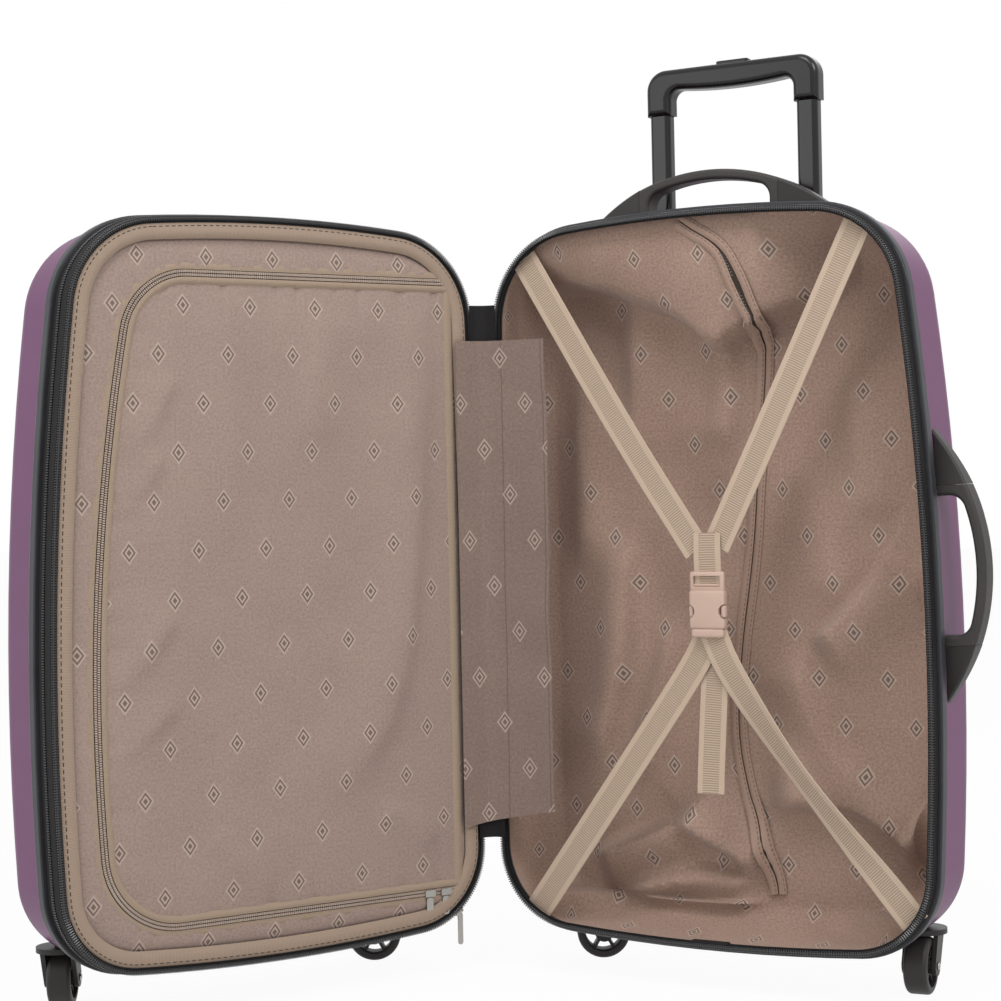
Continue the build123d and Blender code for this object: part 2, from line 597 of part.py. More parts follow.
def handle_base(hand):
    """One end cap of a carry handle: a fin that narrows to its toe, with a pocket for the tongue."""
    beyond = Pos((HANDLE_SEAM + HANDLE_REACH) / 2, 0) * Rectangle(HANDLE_REACH - HANDLE_SEAM, 2 * ARCH_HEIGHT)
    cap = Rot(90, 0, 0) * extrude(handle_arch() & beyond, HANDLE_WIDTH / 2, both=True)
    plan = make_face(Polyline((HANDLE_SEAM, -HANDLE_WIDTH / 2), (HANDLE_REACH, -CAP_TOE_WIDTH / 2),
                              (HANDLE_REACH, CAP_TOE_WIDTH / 2), (HANDLE_SEAM, HANDLE_WIDTH / 2), close=True))
    plan = fillet(plan.vertices().group_by(Axis.X)[-1], CAP_TOE_WIDTH / 3)
    cap &= Pos(0, 0, -CAP_SINK) * extrude(plan, ARCH_HEIGHT + CAP_SINK)
    top = cap.faces().filter_by(GeomType.CYLINDER).sort_by(Axis.Z)[-1]
    cap = fillet([edge for edge in top.edges() if edge.center().X > HANDLE_SEAM + RUN_GAP], CAP_ROUND)
    cap -= tongue(RUN_GAP, HANDLE_TRAVEL)
    return cap if hand > 0 else mirror(cap, about=Plane.YZ)


def caster_housing(across, depth, start, back):
    """The cup in a shell's corner over a wheel, with the socket that takes the caster's kingpin."""
    align = (Align.CENTER, Align.CENTER, Align.MIN)
    cup = Cylinder(WHEEL_WELL_RADIUS + HOUSING_WALL, HOUSING_BOTTOM + HOUSING_ROOF, align=align)
    cup -= Cylinder(WHEEL_WELL_RADIUS, HOUSING_BOTTOM, align=align)
    socket = Cylinder(SOCKET_RADIUS, SOCKET_TOP - HOUSING_BOTTOM, align=align)
    bore = Cylinder(KINGPIN_RADIUS + PIN_CLEARANCE, KINGPIN_LENGTH + RUN_GAP, align=align)
    room = dish(SHELL_INSET + SHELL_WALL + SEAT_GAP, start, back - SHELL_WALL - SEAT_GAP,
                SHELL_BACK_RADIUS - SHELL_WALL)
    cup = Pos(across, depth, 0) * cup & dish(SHELL_INSET, start, back, SHELL_BACK_RADIUS)
    place = Pos(across, depth, HOUSING_BOTTOM)
    return cup + (place * socket & room) - place * bore


def caster_fork():
    """Crown, kingpin and two legs about the swivel axis, with the axle through the legs."""
    align = (Align.CENTER, Align.CENTER, Align.MIN)
    crown = Pos(0, 0, CROWN_BOTTOM) * Cylinder(CROWN_RADIUS, CROWN_THICKNESS, align=align)
    pin_length = CROWN_THICKNESS + RUN_GAP + KINGPIN_LENGTH
    fork = crown + Pos(0, 0, CROWN_BOTTOM) * Cylinder(KINGPIN_RADIUS, pin_length, align=align)
    boss = Pos(-CASTER_TRAIL, WHEEL_RADIUS) * Circle(FORK_BOSS_RADIUS)
    root = Pos(0, CROWN_BOTTOM + CROWN_THICKNESS / 2) * Rectangle(CROWN_RADIUS, CROWN_THICKNESS)
    leg = Rot(90, 0, 0) * extrude(make_hull(boss.edges() + root.edges()), FORK_LEG)
    fork += [Pos(0, LEG_FACE + FORK_LEG, 0) * leg, Pos(0, -LEG_FACE, 0) * leg]
    reach = LEG_FACE + FORK_LEG + AXLE_HEAD
    axle = Pos(-CASTER_TRAIL, 0, WHEEL_RADIUS) * Rot(90, 0, 0) * Cylinder(AXLE_RADIUS, 2 * reach)
    return Compound([(fork - axle).solid(), axle])


def caster_wheel():
    """A wheel with a rounded tread, a recessed web and a bored hub, at its axle."""
    half = WHEEL_WIDTH / 2
    bore = AXLE_RADIUS + PIN_CLEARANCE
    web = half - WEB_RECESS
    upper = [(bore, half), (HUB_RADIUS, half), (HUB_RADIUS, web), (WEB_RADIUS, web),
             (WEB_RADIUS, half), (WHEEL_RADIUS, half)]
    lower = [(radius, -along) for radius, along in reversed(upper)]
    profile = make_face(Polyline(*upper, *lower, close=True))
    profile = fillet(profile.vertices().group_by(Axis.X)[-1], TREAD_ROUND)
    windows = Circle(WEB_RADIUS - SPOKE_ROOT) - Circle(HUB_RADIUS + SPOKE_ROOT)
    for index in range(SPOKE_COUNT):
        windows -= Rot(0, 0, index * 360 / SPOKE_COUNT) * Rectangle(
            WHEEL_RADIUS, SPOKE_WIDTH, align=(Align.MIN, Align.CENTER))
    wheel = revolve(profile, Axis.Y) - Rot(90, 0, 0) * extrude(windows, half, both=True)
    return Pos(-CASTER_TRAIL, 0, WHEEL_RADIUS) * wheel


def strap(side, level, margins, face):
    """A strap from its join at the middle towards a corner, cut off at the zip tape."""
    join = STRAP_JOIN_HIGH if level > 0 else STRAP_JOIN_LOW
    end = (side * (CASE_WIDTH / 2 - margins[0]), MID_HEIGHT + level * (CASE_HEIGHT / 2 - margins[1]))
    run = Vector(end[0] - STRAP_CENTRE, end[1] - join)
    turn = math.degrees(math.atan2(run.X, run.Y))
    length = run.length + CASE_WIDTH / 2
    band = Box(STRAP_WIDTH, STRAP_THICKNESS, length, align=(Align.CENTER, Align.MIN, Align.MIN))
    band = Pos(STRAP_CENTRE, face, join) * Rot(0, turn, 0) * band
    return band & prism(TAPE_INNER + RUN_GAP, face, face + STRAP_THICKNESS)


def buckle_plate(low, high, width):
    """A rounded buckle body in the plane of the straps."""
    plate = fillet(Rectangle(width, high - low).vertices(), BUCKLE_CORNER)
    body = Rot(90, 0, 0) * extrude(plate, BUCKLE_THICKNESS)
    return Pos(STRAP_CENTRE, BUCKLE_FACE + BUCKLE_THICKNESS, (low + high) / 2) * body


def door_face(grow):
    """The door's outline, grown on its three zipped sides; its opening side leans with the case."""
    slope = DOOR_LEAN / (DOOR_HIGH - DOOR_LOW)
    side = DOOR_OUTER + grow * math.sqrt(1 + slope**2)
    low = DOOR_LOW - grow
    high = DOOR_HIGH + grow
    plate = make_face(Polyline((DOOR_HINGE, low), (side + slope * grow, low),
                               (side - DOOR_LEAN - slope * grow, high), (DOOR_HINGE, high), close=True))
    return fillet(plate.vertices().sort_by(Axis.X)[2:], DOOR_CORNER + grow)


def door_slab(grow, start, end):
    """The door's outline extruded between two depths."""
    return Pos(0, start, 0) * Rot(90, 0, 0) * extrude(door_face(grow), start - end)


def divider_pull(across):
    """A flat zip pull with a hole, hanging from a divider slider."""
    plate = fillet(Rectangle(PULL_WIDTH, PULL_LENGTH).vertices(), PULL_WIDTH / 3)
    plate -= Pos(0, -PULL_LENGTH / 2 + PULL_WIDTH / 2) * Circle(PULL_HOLE_RADIUS)
    top = SLIDER_HEIGHT - SLIDER_WIDTH / 2 - RUN_GAP - PULL_THICKNESS / 2
    pull = Rot(90, 0, 0) * extrude(plate, PULL_THICKNESS / 2, both=True)
    return Pos(across, DOOR_FACE - RUN_GAP - PULL_THICKNESS / 2, top - PULL_LENGTH / 2) * pull


def divider_slider(across):
    """A divider zip slider, in front of the coil."""
    body = Box(SLIDER_LENGTH, SLIDER_DEPTH, SLIDER_WIDTH)
    body = fillet(body.edges().filter_by(Axis.Y), SLIDER_WIDTH / 4)
    return Pos(across, DOOR_FACE - RUN_GAP - SLIDER_DEPTH / 2, SLIDER_HEIGHT) * body


def main_slider_spot(lift):
    """A point on the bottom hinge corner, lifted off the tape along the corner's normal."""
    angle = math.radians(MAIN_SLIDER_ANGLE)
    reach = BOTTOM_CORNER_RADIUS - TAPE_OUTER + lift
    return (LOW_HINGE.X + reach * math.cos(angle), (TEETH_DEPTH + FRONT_TAPE_END) / 2,
            LOW_HINGE.Y + reach * math.sin(angle))


def main_slider():
    """The main zip's slider, lying on the outside of the tape."""
    body = Box(MAIN_SLIDER_HEIGHT, MAIN_SLIDER_SIZE, MAIN_SLIDER_SIZE)
    body = fillet(body.edges().filter_by(Axis.X), MAIN_SLIDER_SIZE / 4)
    lift = MAIN_SLIDER_HEIGHT / 2 + RUN_GAP
    return Pos(*main_slider_spot(lift)) * Rot(0, -MAIN_SLIDER_ANGLE, 0) * body


def main_pull():
    """The main zip's pull, hanging from its slider."""
    spot = main_slider_spot(MAIN_SLIDER_HEIGHT + MAIN_PULL_WIDTH / 2 + 2 * RUN_GAP)
    plate = SlotOverall(MAIN_PULL_LENGTH, MAIN_PULL_WIDTH, rotation=90)
    plate = Pos(0, (MAIN_PULL_WIDTH - MAIN_PULL_LENGTH) / 2) * plate
    return Pos(*spot) * Rot(90, 0, 0) * extrude(plate, PULL_THICKNESS / 2, both=True)


def rear(shape):
    """Set a half-frame shape in the rear half's place."""
    return Pos(HALF_SHIFT, 0, 0) * shape


def front(shape):
    """Set a half-frame shape in the front half's place, standing open."""
    return Rot(0, 0, REST_TURN) * mirror(Pos(HALF_SHIFT, 0, 0) * shape, about=Plane.YZ)


def hinge_web():
    """The fabric web along the hinge: one strip to each half, joined on the hinge line."""
    low = RIM_BOTTOM + WEB_MARGIN
    high = RIM_TOP - WEB_MARGIN
    strip = box_between((-HALF_SHIFT, WEB_FACE, low), (0, WEB_FACE + WEB_THICKNESS, high))
    strip -= prism(TEETH_OUTER - RUN_GAP, WEB_FACE, WEB_FACE + WEB_THICKNESS)
    strip = strip.solids().sort_by(Axis.X)[0]
    seam = Cylinder(WEB_FACE + WEB_THICKNESS, high - low, align=(Align.CENTER, Align.CENTER, Align.MIN))
    return rear(strip) + front(strip) + Pos(0, 0, low) * seam


def hinge_flap():
    """The lining flap over the hinge, sewn beside the divider and tucked into the rear half."""
    turn = math.radians(REST_TURN)
    lift = FLAP_LIFT + WEB_FACE
    sewn = Vector(-FLAP_FRONT, -lift).rotate(Axis.Z, REST_TURN)
    bend = Vector(math.sin(turn / 2), -math.cos(turn / 2)) * (lift / math.cos(turn / 2))
    path = FilletPolyline((sewn.X, sewn.Y), (bend.X, bend.Y), (FLAP_REAR, FLAP_SINK - lift), radius=2 * lift)
    height = CASE_HEIGHT - FLAP_MARGIN_LOW - FLAP_MARGIN_HIGH
    return Pos(0, 0, RIM_BOTTOM + FLAP_MARGIN_LOW) * extrude(trace(path, FLAP_THICKNESS), height)


def rear_half():
    """Every piece of the rear half, by node name, in the half frame."""
    cutter = shell_cutter(REAR_SHELL_START, REAR_DEPTH)
    body = shell(REAR_SHELL_START, REAR_DEPTH, REAR_CASTER_DEPTH) - bezel_block(BEZEL_BOTTOM, SEAT_GAP)
    top_inset = inset_at(REAR_SHELL_START, HANDLE_DEPTH)
    top = TOP_CENTRE.Y + math.sqrt((TOP_ARCH_RADIUS - top_inset)**2 - HANDLE_SEAM**2)
    top_place = Pos(0, HANDLE_DEPTH, top)
    lean = math.degrees(math.asin((SIDE_HANDLE_HEIGHT - WIDEST_HEIGHT) / OPENING_SIDE_RADIUS))
    sag = OPENING_SIDE_RADIUS - math.sqrt(OPENING_SIDE_RADIUS**2 - HANDLE_SEAM**2)
    reach = OPENING_SIDE_RADIUS - top_inset - sag
    side_place = Pos(OPENING_CENTRE.X + reach * math.cos(math.radians(lean)), HANDLE_DEPTH,
                     WIDEST_HEIGHT + reach * math.sin(math.radians(lean))) * Rot(0, 90 - lean, 0)
    second_face = STRAP_FACE + STRAP_THICKNESS + SEAT_GAP
    keeper_face = STRAP_FACE - STRAP_THICKNESS - SEAT_GAP
    keeper = box_between((STRAP_CENTRE - STRAP_WIDTH / 2, keeper_face, BUCKLE_HIGH + SEAT_GAP),
                         (STRAP_CENTRE + STRAP_WIDTH / 2, keeper_face + STRAP_THICKNESS,
                          BUCKLE_HIGH + SEAT_GAP + KEEPER_LENGTH))
    tail = box_between((STRAP_CENTRE - STRAP_WIDTH / 2, keeper_face, BUCKLE_LOW - TAIL_LENGTH),
                       (STRAP_CENTRE + STRAP_WIDTH / 2, keeper_face + STRAP_THICKNESS, BUCKLE_LOW - SEAT_GAP))
    socket = buckle_plate(BUCKLE_SPLIT, BUCKLE_HIGH, BUCKLE_WIDTH)
    window_low = BUCKLE_SPLIT + (BUCKLE_HIGH - BUCKLE_SPLIT - PRONG_WINDOW) / 2
    for side in (-1, 1):
        edge = STRAP_CENTRE + side * BUCKLE_WIDTH / 2
        socket -= box_between((edge - PRONG_WIDTH, BUCKLE_FACE, window_low),
                              (edge + PRONG_WIDTH, BUCKLE_FACE + BUCKLE_THICKNESS, window_low + PRONG_WINDOW))
    plug = buckle_plate(BUCKLE_LOW, BUCKLE_SPLIT - SEAT_GAP, BUCKLE_WIDTH - PRONG_WIDTH)
    nodes = {
        "rear_shell": body,
        "rear_rim": rim(REAR_TAPE_END),
        "rear_zip_tape": ring(TAPE_OUTER, TAPE_INNER, TEETH_START + TEETH_DEPTH, REAR_TAPE_END),
        "rear_zip_teeth": ring(TEETH_OUTER, TEETH_INNER, TEETH_START, TEETH_START + TEETH_DEPTH),
        "rear_lining": rear_lining(),
        "trolley_outer_tubes": tube(OUTER_TUBE_WIDTH, OUTER_TUBE_DEPTH, OUTER_TUBE_FOOT, BEZEL_BOTTOM),
        "trolley_mid_tubes": tube(MID_TUBE_WIDTH, MID_TUBE_DEPTH, MID_TUBE_FOOT, WELL_BOTTOM),
        "trolley_inner_tubes": tube(INNER_TUBE_WIDTH, INNER_TUBE_DEPTH, INNER_TUBE_FOOT,
                                    INNER_TUBE_FOOT + INNER_TUBE_LENGTH),
        "trolley_bezel": trolley_bezel(),
        "trolley_foot": trolley_foot(),
        "trolley_grip": trolley_grip(),
        "release_button": release_button(),
        "release_rods": release_rods(),
        "lock_plugs": lock_plugs(),
        "top_handle_grip": top_place * handle_grip(),
        "top_handle_base_left": top_place * handle_base(-1) - cutter,
        "top_handle_base_right": top_place * handle_base(1) - cutter,
        "side_handle_grip": side_place * handle_grip(),
        "side_handle_base_upper": side_place * handle_base(-1) - cutter,
        "side_handle_base_lower": side_place * handle_base(1) - cutter,
        "strap_upper_left": strap(-1, 1, STRAP_UPPER_LEFT, STRAP_FACE),
        "strap_upper_right": strap(1, 1, STRAP_UPPER_RIGHT, second_face),
        "strap_lower_left": strap(-1, -1, STRAP_LOWER_LEFT, STRAP_FACE),
        "strap_lower_right": strap(1, -1, STRAP_LOWER_RIGHT, second_face),
        "strap_keeper": keeper,
        "strap_tail": tail,
        "buckle_socket": socket,
        "buckle_plug": plug,
    }
    for name, hand, turn in (("inner", -1, REAR_INNER_TURN), ("outer", 1, REAR_OUTER_TURN)):
        place = Pos(hand * CASTER_REACH, REAR_CASTER_DEPTH, 0)
        nodes[f"caster_housing_rear_{name}"] = caster_housing(hand * CASTER_REACH, REAR_CASTER_DEPTH,
                                                             REAR_SHELL_START, REAR_DEPTH)
        nodes[f"caster_fork_rear_{name}"] = place * Rot(0, 0, turn) * caster_fork()
        nodes[f"caster_wheel_rear_{name}"] = place * Rot(0, 0, turn) * caster_wheel()
    return nodes


def front_half():
    """Every piece of the front half, by node name, in the half frame."""
    border = prism(TAPE_INNER + RUN_GAP, BORDER_FACE, BORDER_FACE + BORDER_THICKNESS)
    zip_grow = DOOR_GAP + DIVIDER_ZIP_WIDTH
    hinge_edge = Pos(-DOOR_GAP, 0, 0) * door_slab(zip_grow, BORDER_FACE, BORDER_FACE + BORDER_THICKNESS)
    border -= door_slab(zip_grow + RUN_GAP, BORDER_FACE, BORDER_FACE + BORDER_THICKNESS) + hinge_edge
    zip_run = door_slab(zip_grow, DOOR_FACE, DOOR_FACE + DIVIDER_ZIP_DEPTH)
    zip_run -= door_slab(DOOR_GAP, DOOR_FACE, DOOR_FACE + DIVIDER_ZIP_DEPTH)
    gusset = TEETH_INNER + GUSSET_CLEAR
    nodes = {
        "front_zip_teeth": ring(TEETH_OUTER, TEETH_INNER, TEETH_START, TEETH_START + TEETH_DEPTH),
        "front_zip_tape": ring(TAPE_OUTER, TAPE_INNER, TEETH_START + TEETH_DEPTH, FRONT_TAPE_END),
        "expander_coil_inner": ring(TEETH_OUTER, TEETH_INNER, FRONT_TAPE_END, COIL_SPLIT),
        "expander_coil_outer": ring(TEETH_OUTER, TEETH_INNER, COIL_SPLIT + RUN_GAP, FRONT_COIL_END),
        "expander_tape": ring(TAPE_OUTER, TAPE_INNER, FRONT_COIL_END, FRONT_RIM_START),
        "expander_gusset": ring(gusset, gusset + GUSSET_THICKNESS, BORDER_FACE + BORDER_THICKNESS + RUN_GAP,
                                FRONT_RIM_START),
        "front_rim": rim(FRONT_RIM_START),
        "front_shell": shell(FRONT_SHELL_START, FRONT_DEPTH, FRONT_CASTER_DEPTH),
        "front_lining": front_lining(),
        "divider_border": border,
        "divider_zip": zip_run,
        "divider_door": door_slab(0, DOOR_FACE, DOOR_FACE + DOOR_THICKNESS),
        "divider_sliders": Compound([divider_slider(across) for across in DIVIDER_SLIDERS]),
        "divider_pull_left": divider_pull(DIVIDER_SLIDERS[0]),
        "divider_pull_right": divider_pull(DIVIDER_SLIDERS[1]),
        "main_slider": main_slider(),
        "main_pull": main_pull(),
    }
    for name, hand, turn in (("inner", -1, FRONT_INNER_TURN), ("outer", 1, FRONT_OUTER_TURN)):
        place = Pos(hand * CASTER_REACH, FRONT_CASTER_DEPTH, 0)
        nodes[f"caster_housing_front_{name}"] = caster_housing(hand * CASTER_REACH, FRONT_CASTER_DEPTH,
                                                              FRONT_SHELL_START, FRONT_DEPTH)
        nodes[f"caster_fork_front_{name}"] = place * Rot(0, 0, turn) * caster_fork()
        nodes[f"caster_wheel_front_{name}"] = place * Rot(0, 0, turn) * caster_wheel()
    return nodes


placed = {name: rear(shape) for name, shape in rear_half().items()}
placed.update({name: front(shape) for name, shape in front_half().items()})
placed["hinge_web"] = hinge_web()
placed["hinge_flap"] = hinge_flap()

# The origin is the middle of the standing case's footprint, on the floor
footprint = Compound(list(placed.values())).bounding_box()
ORIGIN = Vector(footprint.center().X, footprint.center().Y, footprint.min.Z)

os.makedirs("parts", exist_ok=True)
for name, shape in placed.items():
    export_step(Pos(-ORIGIN.X, -ORIGIN.Y, -ORIGIN.Z) * shape, f"parts/{name}.step")
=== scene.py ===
"""Hard shell suitcase that stands open like a book: cloth, zips, webbing, finishes, studio and camera."""
import json
import logging
import math
from abc import ABC, abstractmethod
from dataclasses import dataclass
from enum import Enum
from functools import lru_cache, partial

import bpy
import numpy as np
from mathutils import Matrix, Vector
from mathutils.kdtree import KDTree


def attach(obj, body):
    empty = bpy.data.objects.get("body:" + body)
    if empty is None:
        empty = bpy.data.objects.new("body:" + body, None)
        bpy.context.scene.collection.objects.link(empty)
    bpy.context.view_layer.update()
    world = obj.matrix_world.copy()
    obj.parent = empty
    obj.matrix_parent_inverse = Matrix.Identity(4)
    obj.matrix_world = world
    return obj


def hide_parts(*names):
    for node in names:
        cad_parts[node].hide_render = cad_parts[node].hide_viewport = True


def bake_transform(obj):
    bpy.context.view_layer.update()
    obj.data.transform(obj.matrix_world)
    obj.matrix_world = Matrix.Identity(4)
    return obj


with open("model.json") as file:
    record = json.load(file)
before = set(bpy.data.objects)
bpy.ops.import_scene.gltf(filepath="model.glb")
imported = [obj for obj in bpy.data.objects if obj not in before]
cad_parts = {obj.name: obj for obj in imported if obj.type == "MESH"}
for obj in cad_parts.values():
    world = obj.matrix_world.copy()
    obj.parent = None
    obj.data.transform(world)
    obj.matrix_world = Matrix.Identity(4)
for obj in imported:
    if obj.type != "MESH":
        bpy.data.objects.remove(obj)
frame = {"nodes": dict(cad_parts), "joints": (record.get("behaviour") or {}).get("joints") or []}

Piece = bpy.types.Object
Socket = bpy.types.NodeSocket
Tree = bpy.types.NodeTree
Line = tuple[tuple[float, ...], ...]

log = logging.getLogger("suitcase")
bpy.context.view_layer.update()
MM = 0.001
CLOTH_UV = "cloth"
HALF_SHIFT = 218.0
OPEN_TURN = math.radians(64.0)
HINGE_LINE = Vector(next(joint for joint in frame["joints"] if joint["name"] == "case_hinge")["pos_m"])
# Which attribute a node's mode sets
NODE_MODES = {"Math": "operation", "Mix": "data_type"}


class Half(Enum):
    """The two halves of the case, each with the CAD body of its zip line."""

    REAR = "rear_half"
    FRONT = "front_frame"

    def place(self, points: np.ndarray) -> np.ndarray:
        """Sets points of a half in the row.

        Args:
            points: Across, behind the zip line and up, in millimetres, in the last axis.

        Returns:
            The same points in the row frame, in metres.
        """
        across, depth = points[..., 0] + HALF_SHIFT, points[..., 1]
        if self is Half.FRONT:
            cos, sin = math.cos(OPEN_TURN), math.sin(OPEN_TURN)
            across, depth = -across * cos - depth * sin, -across * sin + depth * cos
        return np.stack([across * MM + HINGE_LINE.x, depth * MM + HINGE_LINE.y, points[..., 2] * MM], axis=-1)


def run_lengths(points: np.ndarray) -> np.ndarray:
    """Distance along a line of points at each of them."""
    return np.concatenate([[0.0], np.cumsum(np.linalg.norm(np.diff(points, axis=0), axis=1))])


def read_off(spots: np.ndarray, lengths: np.ndarray, points: np.ndarray) -> np.ndarray:
    """Points of a line at given distances along it."""
    return np.stack([np.interp(spots, lengths, column) for column in points.T], axis=1)


def strip_places(along: np.ndarray, wide: np.ndarray) -> np.ndarray:
    """Places on a flat strip, row by row: along its run and across it."""
    return np.stack(np.broadcast_arrays(along[None, :], wide[:, None]), axis=-1)


def close_ring(grid: np.ndarray) -> np.ndarray:
    """Rows of points with the first column again at the end."""
    return np.concatenate([grid, grid[:, :1]], axis=1)


def ease(share: np.ndarray) -> np.ndarray:
    """A share held between nought and one, with a soft start and end."""
    share = np.clip(share, 0.0, 1.0)
    return share * share * (3 - 2 * share)


def cut_corners(line: Line, rounds: int) -> np.ndarray:
    """Softens a line by cutting its corners off.

    Args:
        line: Its points.
        rounds: How often each corner is cut.

    Returns:
        The points of the softer line.
    """
    points = np.array(line, dtype=float)
    for _ in range(rounds):
        near, far = points[:-1], points[1:]
        cut = np.stack([0.75 * near + 0.25 * far, 0.25 * near + 0.75 * far], axis=1)
        points = np.vstack([points[:1], cut.reshape(-1, points.shape[1]), points[-1:]])
    return points


@dataclass(frozen=True, eq=False)
class Track:
    """A run round a half: points across and up with their outward normals, in millimetres."""

    points: np.ndarray
    normals: np.ndarray
    closed: bool

    def lengths(self) -> np.ndarray:
        """Distance along the run at each point, with one more for the way back where it is closed."""
        return run_lengths(np.vstack([self.points, self.points[:int(self.closed)]]))

    def even(self, count: int) -> "Track":
        """The same run with evenly spaced points.

        Args:
            count: How many points it gets.

        Returns:
            The new track.
        """
        lengths = self.lengths()
        spots = np.linspace(0.0, lengths[-1], count, endpoint=not self.closed)
        points, normals = (read_off(spots, lengths, np.vstack([values, values[:int(self.closed)]]))
                           for values in (self.points, self.normals))
        return Track(points, normals / np.hypot(*normals.T)[:, None], self.closed)

    def at(self, inset: float | np.ndarray, depth: float) -> np.ndarray:
        """Half-frame points of the run.

        Args:
            inset: How far inside the run, in millimetres.
            depth: How far behind the zip line, in millimetres.

        Returns:
            One point for each point of the run, across, deep and up.
        """
        flat = self.points - self.normals * np.broadcast_to(inset, len(self.points))[:, None]
        return np.stack([flat[:, 0], np.full(len(flat), depth), flat[:, 1]], axis=1)


@dataclass(frozen=True)
class CaseOutline:
    """The case's outline: four shallow arches joined by round corners, as in the CAD model."""

    width: float = 430.0
    height: float = 658.0
    low: float = 34.0
    top_arch: float = 1400.0
    bottom_arch: float = 1800.0
    opening_arch: float = 2700.0
    hinge_arch: float = 14000.0
    widest: float = 267.0
    top_corner: float = 88.0
    bottom_corner: float = 78.0
    arc_steps: int = 80

    def corner(self, arch: tuple[np.ndarray, float], then: tuple[np.ndarray, float], radius: float,
               towards: tuple[int, int]) -> np.ndarray:
        """Centre of a corner circle that touches two arches.

        Args:
            arch: Centre and radius of one arch.
            then: Centre and radius of the other.
            radius: The corner's radius.
            towards: The corner's direction from the middle, across and up.

        Returns:
            The centre, across and up.
        """
        reach, other = arch[1] - radius, then[1] - radius
        gap = then[0] - arch[0]
        span = np.hypot(*gap)
        along = (reach**2 - other**2 + span**2) / (2 * span)
        foot = arch[0] + gap / span * along
        off = np.array([-gap[1], gap[0]]) / span * math.sqrt(reach**2 - along**2)
        return max((foot + off, foot - off), key=lambda spot: spot @ np.array(towards))

    @lru_cache
    def track(self, count: int) -> Track:
        """The outline as a closed run, clockwise from the top corner on the opening side.

        Args:
            count: How many even points it gets.

        Returns:
            The track.
        """
        top = (np.array([0.0, self.low + self.height - self.top_arch]), self.top_arch)
        bottom = (np.array([0.0, self.low + self.bottom_arch]), self.bottom_arch)
        opening = (np.array([self.width / 2 - self.opening_arch, self.widest]), self.opening_arch)
        hinge = (np.array([self.hinge_arch - self.width / 2, self.widest]), self.hinge_arch)
        middles, joints = [], []
        for arch, then, radius, towards in ((top, opening, self.top_corner, (1, 1)),
                                            (opening, bottom, self.bottom_corner, (1, -1)),
                                            (bottom, hinge, self.bottom_corner, (-1, -1)),
                                            (hinge, top, self.top_corner, (-1, 1))):
            corner = self.corner(arch, then, radius, towards)
            for middle, reach in (arch, then):
                way = corner - middle
                joints.append(middle + way / np.hypot(*way) * reach)
            middles += [corner, then[0]]
        points, normals = [], []
        for index, middle in enumerate(middles):
            start, end = joints[index] - middle, joints[(index + 1) % len(joints)] - middle
            first = math.atan2(start[1], start[0])
            swing = (math.atan2(end[1], end[0]) - first + math.pi) % (2 * math.pi) - math.pi
            angles = first + swing * np.linspace(0.0, 1.0, self.arc_steps, endpoint=False)
            rays = np.stack([np.cos(angles), np.sin(angles)], axis=1)
            points.append(middle + rays * np.hypot(*start))
            normals.append(rays)
        return Track(np.concatenate(points), np.concatenate(normals), True).even(count)


OUTLINE = CaseOutline()


def hex_linear(code: str) -> tuple[float, float, float, float]:
    """Turns an sRGB hex colour to linear.

    Args:
        code: Six hex digits.

    Returns:
        Red, green, blue and alpha.
    """
    parts = [int(code[at:at + 2], 16) / 255 for at in (0, 2, 4)]
    red, green, blue = (part / 12.92 if part <= 0.04045 else ((part + 0.055) / 1.055) ** 2.4
                        for part in parts)
    return red, green, blue, 1.0


def feed(node: bpy.types.Node, links: dict[str | int, object]) -> None:
    """Links or sets a node's inputs.

    Args:
        node: The node.
        links: Input name or index to an output socket, a value or an sRGB hex colour.
    """
    for name, source in links.items():
        if isinstance(source, Socket):
            node.id_data.links.new(source, node.inputs[name])
        else:
            node.inputs[name].default_value = hex_linear(source) if isinstance(source, str) else source


def add_node(tree: Tree, kind: str, links: dict[str | int, object] | None = None, out: int | str = 0,
             **settings: object) -> Socket:
    """Adds a shader node with its settings and links.

    Args:
        tree: The node tree.
        kind: The node's type without its prefix, then its mode where it has one.
        links: What goes to its inputs.
        out: Name or index of the wanted output.
        **settings: Other attributes of the node.

    Returns:
        That output.
    """
    kind, _, mode = kind.partition(" ")
    node = tree.nodes.new(f"ShaderNode{kind}")
    if mode:
        settings[NODE_MODES[kind]] = mode
    for name, value in settings.items():
        setattr(node, name, value)
    feed(node, links or {})
    return node.outputs[out]


@dataclass(frozen=True)
class Finish(ABC):
    """A real material with its main colour."""

    name: str
    colour: str

    @abstractmethod
    def inputs(self, tree: Tree) -> dict[str, object]:
        """Draws the finish's pattern in a node tree and gives what feeds the shader."""

    @lru_cache
    def material(self) -> bpy.types.Material:
        """Builds the material once.

        Returns:
            The material.
        """
        material = bpy.data.materials.new(self.name)
        material.use_nodes = True
        tree = material.node_tree
        feed(tree.nodes["Principled BSDF"], self.inputs(tree))
        return material


